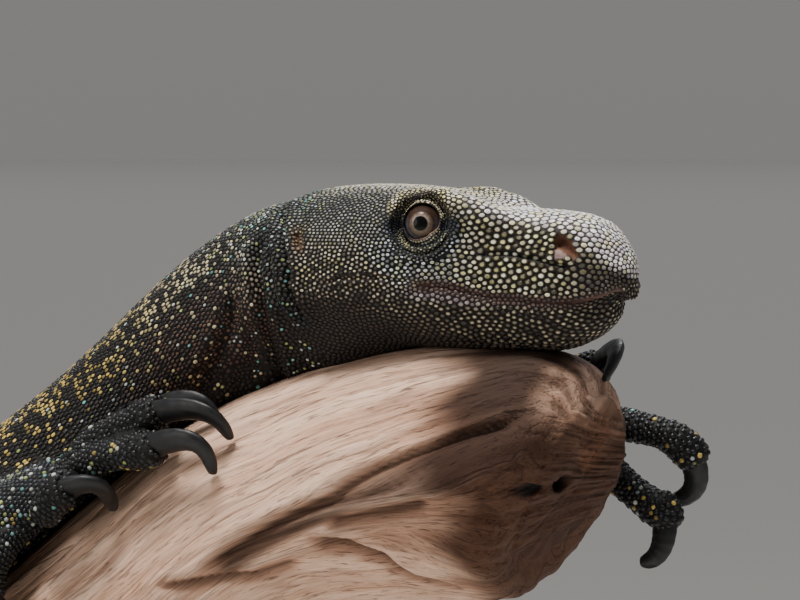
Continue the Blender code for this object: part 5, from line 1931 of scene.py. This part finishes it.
def head_layers(s, degrees, points):
    """The head's regions from the ground up, some of them painted shade and a painted sheen.

    Each is how strong it is, its scales' rim and middle tones, the middle's share of the width,
    how round the scales are, and how much their brightness differs.
    """
    across = np.abs(degrees)
    rho, turn = eye_turns(points)
    gap, _, near = to_line(points, mouth_line())
    above = points[:, 2] > near[:, 2]
    top = 1 - step(across, 34, 56)
    jaw = step(across, 100, 112)
    snout = 1 - step(s, 0.044, 0.064)
    tip = 1 - step(s, 0.004, 0.014)
    tip_top = (1 - step(s, 0.012, 0.021)) * (1 - step(across, 54, 72))
    temple = step(s, 0.060, 0.074) * (1 - step(s, 0.110, 0.120)) * bump(across - 43, 24)
    # Painted shade: the front side of the snout's tip is darker than its top, as the light falls from above.
    front_side_shade = (1 - step(s, 0.012, 0.022)) * step(across, 64, 82) * (1 - step(across, 98, 112))
    cheek_low = step(across, 66, 92) * step(s, 0.068, 0.085)
    lips = (1 - step(gap, 0.0015, 0.0032)) * step(s, 0.003, 0.010)
    swelling = (1 - step(gap, 0.0030, 0.0060)) * ~above
    swelling = swelling * step(s, 0.044, 0.054) * (1 - step(s, 0.070, 0.078))
    eye = 1 - step(rho, 0.0102, 0.0138)
    hollow = (1 - step(rho, 0.0120, 0.0155)) * step(np.abs(np.cos(turn)), 0.80, 0.95)
    upper, lower = step(np.sin(turn), 0.05, 0.45), step(-np.sin(turn), 0.15, 0.5)
    lid = (1 - step(rho, 0.0079, 0.0084)) * upper
    brow = bump(rho - 0.0122, 0.0018) * upper
    below_lid = (1 - step(rho, 0.0064, 0.0070)) * lower
    row = bump(rho - 0.0089, 0.0006) * lower
    pearls = bump(rho - 0.0130, 0.0010) * lower
    under_eye = bump(rho - 0.0172, 0.0036) * lower * step(-np.cos(turn), -0.1, 0.4)
    # Painted shadow: dark under the overhanging lip at the snout's front.
    notch = (1 - step(gap, 0.0045, 0.0075)) * ~above * (1 - step(s, 0.008, 0.018))
    # Painted sheen: the nape's scales are grey-green with a wide spread of brightness, for light catching
    # them.
    nape = step(s, 0.106, 0.116) * (1 - step(across, 50, 85))
    # Painted shade: dark under the jaw's front, where the light does not reach.
    throat = step(across, 108, 128) * step(s, 0.045, 0.085)
    # Painted shade: near-black in the fold behind the jaw and the hollow just behind it.
    behind = step(s, 0.1165, 0.1190) * (1 - step(s, 0.128, 0.136))
    behind = behind * step(across, 40, 62) * (1 - step(across, 112, 135))
    fold = np.maximum(bump(line_gap(points, JAW_FOLD), 0.0034) * step(across, 22, 48), 0.85 * behind)
    ear = bump(line_gap(points, EAR), 0.0024)
    return ((np.ones_like(s), (36, 35, 33), (166, 164, 158), 0.66, 0.5, 0.45),
            (cheek_low, (30, 23, 16), (176, 164, 142), 0.46, 0.6, 1.0),
            (top * (1 - snout), (84, 80, 72), (214, 209, 196), 0.80, 0.4, 0.35),
            (snout * (1 - top), (40, 33, 19), (216, 207, 170), 0.50, 0.4, 0.85),
            (snout * top, (122, 114, 114), (247, 241, 244), 0.89, 0.05, 0.25),
            (tip, (84, 77, 78), (212, 204, 208), 0.84, 0.2, 0.4),
            (tip_top, (116, 108, 110), (242, 234, 238), 0.87, 0.1, 0.3),
            (temple, (26, 28, 30), (112, 114, 112), 0.54, 0.5, 0.8),
            (front_side_shade, (42, 36, 32), (84, 77, 72), 0.64, 0.5, 0.5),
            (jaw, (32, 24, 16), (160, 149, 124), 0.45, 0.7, 0.95),
            # Partly darker skin, partly painted shade: the lower jaw darkens away from the mouth, then the
            # throat.
            (jaw * step(gap, 0.010, 0.020), (26, 18, 12), (66, 52, 40), 0.50, 0.7, 0.9),
            (throat, (14, 11, 9), (34, 27, 23), 0.60, 0.6, 0.6),
            (swelling, (58, 47, 47), (150, 138, 142), 0.70, 0.5, 0.5),
            (lips, (46, 32, 26), (86, 68, 60), 0.74, 0.3, 0.5),
            (notch, (20, 14, 11), (38, 28, 23), 0.70, 0.5, 0.4),
            (eye, (18, 20, 24), (74, 76, 78), 0.65, 0.5, 0.7),
            (eye * upper, (32, 27, 18), (140, 128, 94), 0.60, 0.5, 0.6),
            (hollow, (12, 15, 21), (40, 46, 56), 0.65, 0.5, 0.7),
            (brow, (66, 56, 42), (226, 216, 188), 0.80, 0.4, 0.5),
            (row, (40, 38, 26), (176, 172, 136), 0.75, 0.5, 0.6),
            (under_eye, (24, 27, 30), (196, 204, 206), 0.58, 0.6, 0.8),
            (pearls, (24, 28, 34), (222, 230, 240), 0.74, 0.6, 0.5),
            (below_lid, (52, 48, 42), (186, 180, 162), 0.80, 0.5, 0.4),
            (lid, (84, 76, 56), (218, 208, 178), 0.88, 0.5, 0.25),
            (nape, (20, 24, 24), (98, 106, 98), 0.66, 0.5, 0.9),
            (fold, (6, 7, 9), (24, 27, 34), 0.55, 0.6, 0.9),
            (ear, (48, 33, 20), (128, 100, 68), 0.60, 0.6, 0.8))


def body_layers(part, s, degrees):
    """Ground tones behind the head and on the limbs, told as the head's are; painted shade under the neck."""
    across = np.abs(degrees)
    neck = (part == 0) & (s < NECK_SCALES_END)
    trunk = (part == 0) & (s >= NECK_SCALES_END) & (s < SVL)
    side = step(across, 62, 104)
    belly = step(across, 122, 150)
    hand, digit = TUBE_OF_PART[part] > 1, TUBE_OF_PART[part] > 2
    gular = neck * step(across, 70, 100) * (1 - step(s, 0.17, 0.21))
    # Painted shade: near-black under the neck, where the hanging throat lies in shadow.
    under = neck * step(across, 128, 150)
    return ((np.ones_like(s), (13, 11, 10), (38, 34, 31), 0.72, 0.3, 0.6),
            (neck * side, (13, 10, 9), (44, 37, 32), 0.66, 0.4, 0.9),
            (gular, (24, 14, 10), (84, 56, 42), 0.62, 0.5, 0.8),
            (under, (9, 8, 8), (22, 18, 17), 0.70, 0.3, 0.5),
            (trunk * belly, (58, 52, 38), (150, 140, 106), 0.75, 0.3, 0.4),
            (1.0 * (part > 0), (9, 10, 11), (48, 54, 60), 0.74, 0.3, 0.9),
            (1.0 * hand, (8, 9, 10), (36, 40, 45), 0.76, 0.3, 0.7),
            (1.0 * digit, (6, 6, 7), (27, 29, 32), 0.74, 0.3, 0.9))


def gold_share(part, s, degrees, points):
    """How likely a scale is gold: in clusters on the neck, bands on the trunk and rings on the tail."""
    across = np.abs(degrees)
    cluster, patch = noise(points * 330, 71, 2), noise(points * 90, 77, 2)
    neck, tail = (part == 0) & (s < 0.32), (part == 0) & (s > SVL)
    hand = TUBE_OF_PART[part] > 1
    back = 1 - step(across, 56, 100)
    ring = 0.5 + 0.5 * np.cos(2 * math.pi * (s + 0.006 * np.sin(np.radians(degrees) * 5)) / 0.046)
    ring_tail = 0.5 + 0.5 * np.cos(2 * math.pi * s / 0.090)
    share = 0.75 * step(cluster + 0.22 * ring, 0.56, 0.72)
    clustered = step(cluster + 0.5 * (patch - 0.5), 0.34, 0.54)
    on_neck = (0.05 + 0.56 * clustered * (0.06 + 0.94 * back)) * step(s, 0.120, 0.165)
    share = np.where(neck, on_neck, share)
    share = np.where(tail, 0.85 * step(0.75 * ring_tail + 0.5 * cluster, 0.82, 1.0), share)
    share = np.where(part > 0, 0.4 * step(cluster, 0.54, 0.66), share)
    return np.where(hand, 0.05 * step(patch, 0.40, 0.60), share)


def glint_share(part, s, degrees):
    """How likely a scale shows a painted glint, pale or turquoise: on nape, neck and legs, and behind the
    jaw.
    """
    across = np.abs(degrees)
    nape = 0.30 * step(s, 0.106, 0.116) * (1 - step(s, 0.135, 0.170)) * (1 - step(across, 55, 85))
    behind_jaw = 0.13 * step(s, 0.114, 0.120) * (1 - step(s, 0.128, 0.140)) * step(across, 55, 75)
    neck = 0.06 * step(s, 0.128, 0.140) * (1 - step(s, 0.22, 0.28))
    leg = np.array((0.30, 0.30, 0.22, 0.05))[np.minimum(TUBE_OF_PART[part], 3)]
    return np.where(part == 0, np.maximum(np.maximum(nape, behind_jaw), neck), leg)


def blended(layers, count):
    """The layers laid over each other by their strength."""
    look = np.zeros((count, 9))
    for weight, rim, heart, *rest in layers:
        row = np.concatenate([tone(*rim), tone(*heart), rest])
        look += (row - look) * np.broadcast_to(weight, count)[:, None]
    return look


def markings(part, s, degrees, points):
    """A row for each place: rim tone, middle tone, the middle's size, roundness and brightness's spread."""
    # The layers carry painted shade and sheen too, as marked where each is made.
    look = blended(body_layers(part, s, degrees), len(s))
    head = (part == 0) & (s < 0.152)
    if head.any():
        own = blended(head_layers(s[head], degrees[head], points[head]), head.sum())
        look[head] = own + (look[head] - own) * step(s[head], 0.120, 0.148)[:, None]
    return look


def skin_tones(skin):
    """The skin's tones: darker than the scales' rims, with mouth, nostrils, ears and lids in their own."""
    colour = markings(skin.part, skin.s, skin.degrees, skin.points)[:, :3] * 0.55
    head = (skin.part == 0) & (skin.s < 0.15)
    points, own = skin.points[head], colour[head]

    def tinted(amount, *wanted):
        """Draws the tones towards a wanted one by an amount."""
        own[:] += (tone(*wanted) - own) * np.clip(amount, 0, 1)[:, None]

    rho, turn = eye_turns(points)
    tinted(1 - step(rho, 0.0085, 0.0110), 14, 16, 20)
    for side in (-1, 1):
        gap, share = to_side(points, NOSTRIL, side)
        deep, _ = to_side(points, NOSTRIL, side, NOSTRIL_DEEP)
        wide = nostril_width(share)
        tinted(1 - step(spot_gap(points, NOSTRIL_RIM, side), 0.0018, 0.0026), 156, 132, 126)
        tinted(1 - step(gap - wide, -0.0006, 0.0010), 128, 88, 64)
        tinted(0.8 - 0.8 * step(deep - wide, -0.0014, 0.0008), 98, 56, 34)
        gap, _ = to_side(points, EAR, side)
        tinted(1 - step(gap, 0.0007, 0.0016), 92, 62, 38)
        # Painted shade: near-black in the crease that runs back from the nostril.
        gap, _ = to_side(points, NOSTRIL_CREASE, side)
        tinted(bump(gap, 0.0009), 7, 7, 8)
        gap, share = to_side(points, CHEEK_CREASE, side)
        tinted(0.8 * bump(gap, 0.0006) * along(share), 120, 94, 84)
        rho, turn, out = around_eye(points, side)
        near = ((out > -0.002) & (out < 0.020)).astype(float)
        over = rho - lid_edge(turn)
        tinted(near * (1 - step(over, 0.0004, 0.0009)), 40, 28, 24)
        front = step(-np.sin(turn - 0.5), 0.30, 0.80)
        tinted(near * front * (1 - step(over, 0.0003, 0.0008)), 150, 122, 108)
        # Painted shade: near-black skin inside the lids' opening, behind the eyeball.
        tinted(near * (over < -0.0004), 14, 10, 10)
    gap, share, near = to_line(points, mouth_line())
    tinted(bump(gap, 0.0009), 62, 32, 27)
    below = np.where(points[:, 2] < near[:, 2], gap, 0.0)
    front = step(from_corner(share), 0.66, 0.84)
    # Painted shadow: dark under the overhanging lip at the snout's front.
    tinted(front * step(below, 0.0002, 0.0008) * (1 - step(below, 0.0030, 0.0060)), 22, 14, 11)
    tinted(0.8 * front * bump(np.where(below > 0, 1.0, gap) - 0.0005, 0.0006), 112, 84, 76)
    colour[head] = own
    return colour


def colour_scales(scales):
    """Gives every scale its own chance, tones and form: some gold, some with painted glints, some ringed."""
    count, place = len(scales.place), (scales.part, scales.s, scales.degrees, scales.place)
    scales.chance = rng.random(count)
    look = markings(*place)
    scales.rim, scales.heart = look[:, :3], look[:, 3:6]
    scales.dot = look[:, 6] * (0.85 + 0.3 * rng.random(count))
    scales.roundness = look[:, 7]
    bright = 1 + look[:, 8] * (2 * rng.random(count) ** 1.2 - 1.05)
    head = (scales.part == 0) & (scales.s < 0.12)
    yellow = head & (rng.random(count) < 0.3) & (np.abs(scales.degrees) < 98)
    scales.heart = scales.heart * bright[:, None] * np.where(yellow[:, None], (1.0, 0.98, 0.66), 1.0)
    gold = rng.random(count) < gold_share(*place)
    scales.rim[gold] = GOLD_RIM
    rich = step(scales.s[gold] + 10 * (scales.part[gold] > 0), 0.15, 0.21)[:, None]
    scales.heart[gold] = (CREAM + (GOLD - CREAM) * rich) * (0.30 + 0.90 * rng.random(gold.sum())[:, None])
    scales.dot[gold] = 0.84
    # Painted highlights: some scales take a glint tone in place of their own.
    glint = ~gold & (rng.random(count) < glint_share(*place[:3]))
    which = rng.integers(0, len(GLINTS), glint.sum())
    scales.heart[glint] = GLINTS[which] * (0.35 + 0.65 * rng.random(glint.sum())[:, None])
    scales.heart = np.clip(scales.heart, 0, 0.85)
    gap, _, near = to_line(scales.place, mouth_line())
    ringed_row = bump(gap - 0.0050, 0.0022) * (scales.place[:, 2] > near[:, 2])
    ringed_row = ringed_row * step(scales.s, 0.012, 0.024)
    ringed = head & (rng.random(count) < 0.05 + 0.55 * ringed_row * (1 - step(scales.s, 0.060, 0.075)))
    scales.core = np.where(ringed[:, None], scales.rim * 1.3, scales.heart)
    scales.rim = scales.rim * (0.85 + 0.3 * scales.chance[:, None])
    body_long = np.where(scales.s < HEAD_REACH, stretched(scales.s), neck_long(scales.s))
    scales.long = np.where(scales.part == 0, body_long, 1.0)


def roots(scales, chosen):
    """Each scale's place on an unwrap of the skin: along and round the body, or on a tile for its length
    of limb."""
    part, s, angle = scales.part[chosen], scales.s[chosen], scales.angle[chosen]
    around = (angle + math.pi) / (2 * math.pi) % 1.0
    if (part > 0).all():
        tile = TUBE_OF_PART[part]
        low, high = np.array([(0, 1)] + [(tube.low, tube.high) for tube in ALL_TUBES])[part].T
        far = np.clip((s - low) / (high - low), 0, 1)
        inside = 0.04 + 0.92 * np.stack([around, far], -1)
        return (np.stack([tile % 2, tile // 2], -1) + inside) / (2, 4)
    far = (s - s.min()) / max(s.max() - s.min(), 1e-6)
    return 0.01 + 0.98 * np.stack([around, far], -1)


def dress(skin):
    """All the scales, as joined pieces."""
    scales = Scales(skin)
    colour_scales(scales)
    scales.root = np.zeros((len(scales.place), 2))
    tree = tree_of(scales.place)
    material = scale_paint()
    limb, finger = LIMB_OF_PART[scales.part], TUBE_OF_PART[scales.part] >= 2
    pieces = []
    for name, low, high, look in BODY_PIECES:
        pieces.append((name, (scales.part == 0) & (scales.s >= low) & (scales.s < high), look))
    for name in LIMBS:
        mine = limb == name
        if name.startswith("fore"):
            pieces.append((f"{name}_scales", mine & ~finger, BODY_LOOK))
            pieces.append((f"{name}_hand_scales", mine & finger, HAND_LOOK))
        else:
            pieces.append((f"{name}_scales", mine, BODY_LOOK))
    for name, mask, look in pieces:
        chosen = np.flatnonzero(mask)
        scales.root[chosen] = roots(scales, chosen)
        build_scales(name, scales, chosen, tree, look, material)


# ---- the whole -------------------------------------------------------------------------------
def build_skin(material):
    """The skin with its tones, in place of every node of flesh."""
    skin = Skin()
    skin.mesh.materials.clear()
    skin.mesh.materials.append(material)
    colour_by(skin.mesh, skin_tones(skin))
    flesh = ("head", "neck", "trunk", "tail", "foreleg", "hindleg")
    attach(skin.object, "root")
    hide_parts(*[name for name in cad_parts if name.split("_")[0] in flesh])
    return skin


def build():
    """The whole scene: studio, animal, perch and stand."""
    build_camera()
    build_light()
    build_floor()
    dress(build_skin(skin_paint()))
    build_branch()
    horn, iris = horn_paint(), eye_paint()
    for word, side in (("right", -1), ("left", 1)):
        build_eye(word, side, iris)
    for name, limb in LIMBS.items():
        for k, digit in enumerate(limb["digits"], 1):
            build_claw(f"{name}_{k}", digit_places(limb["palm"], digit), horn)
    build_plate()
    build_rods()


build()
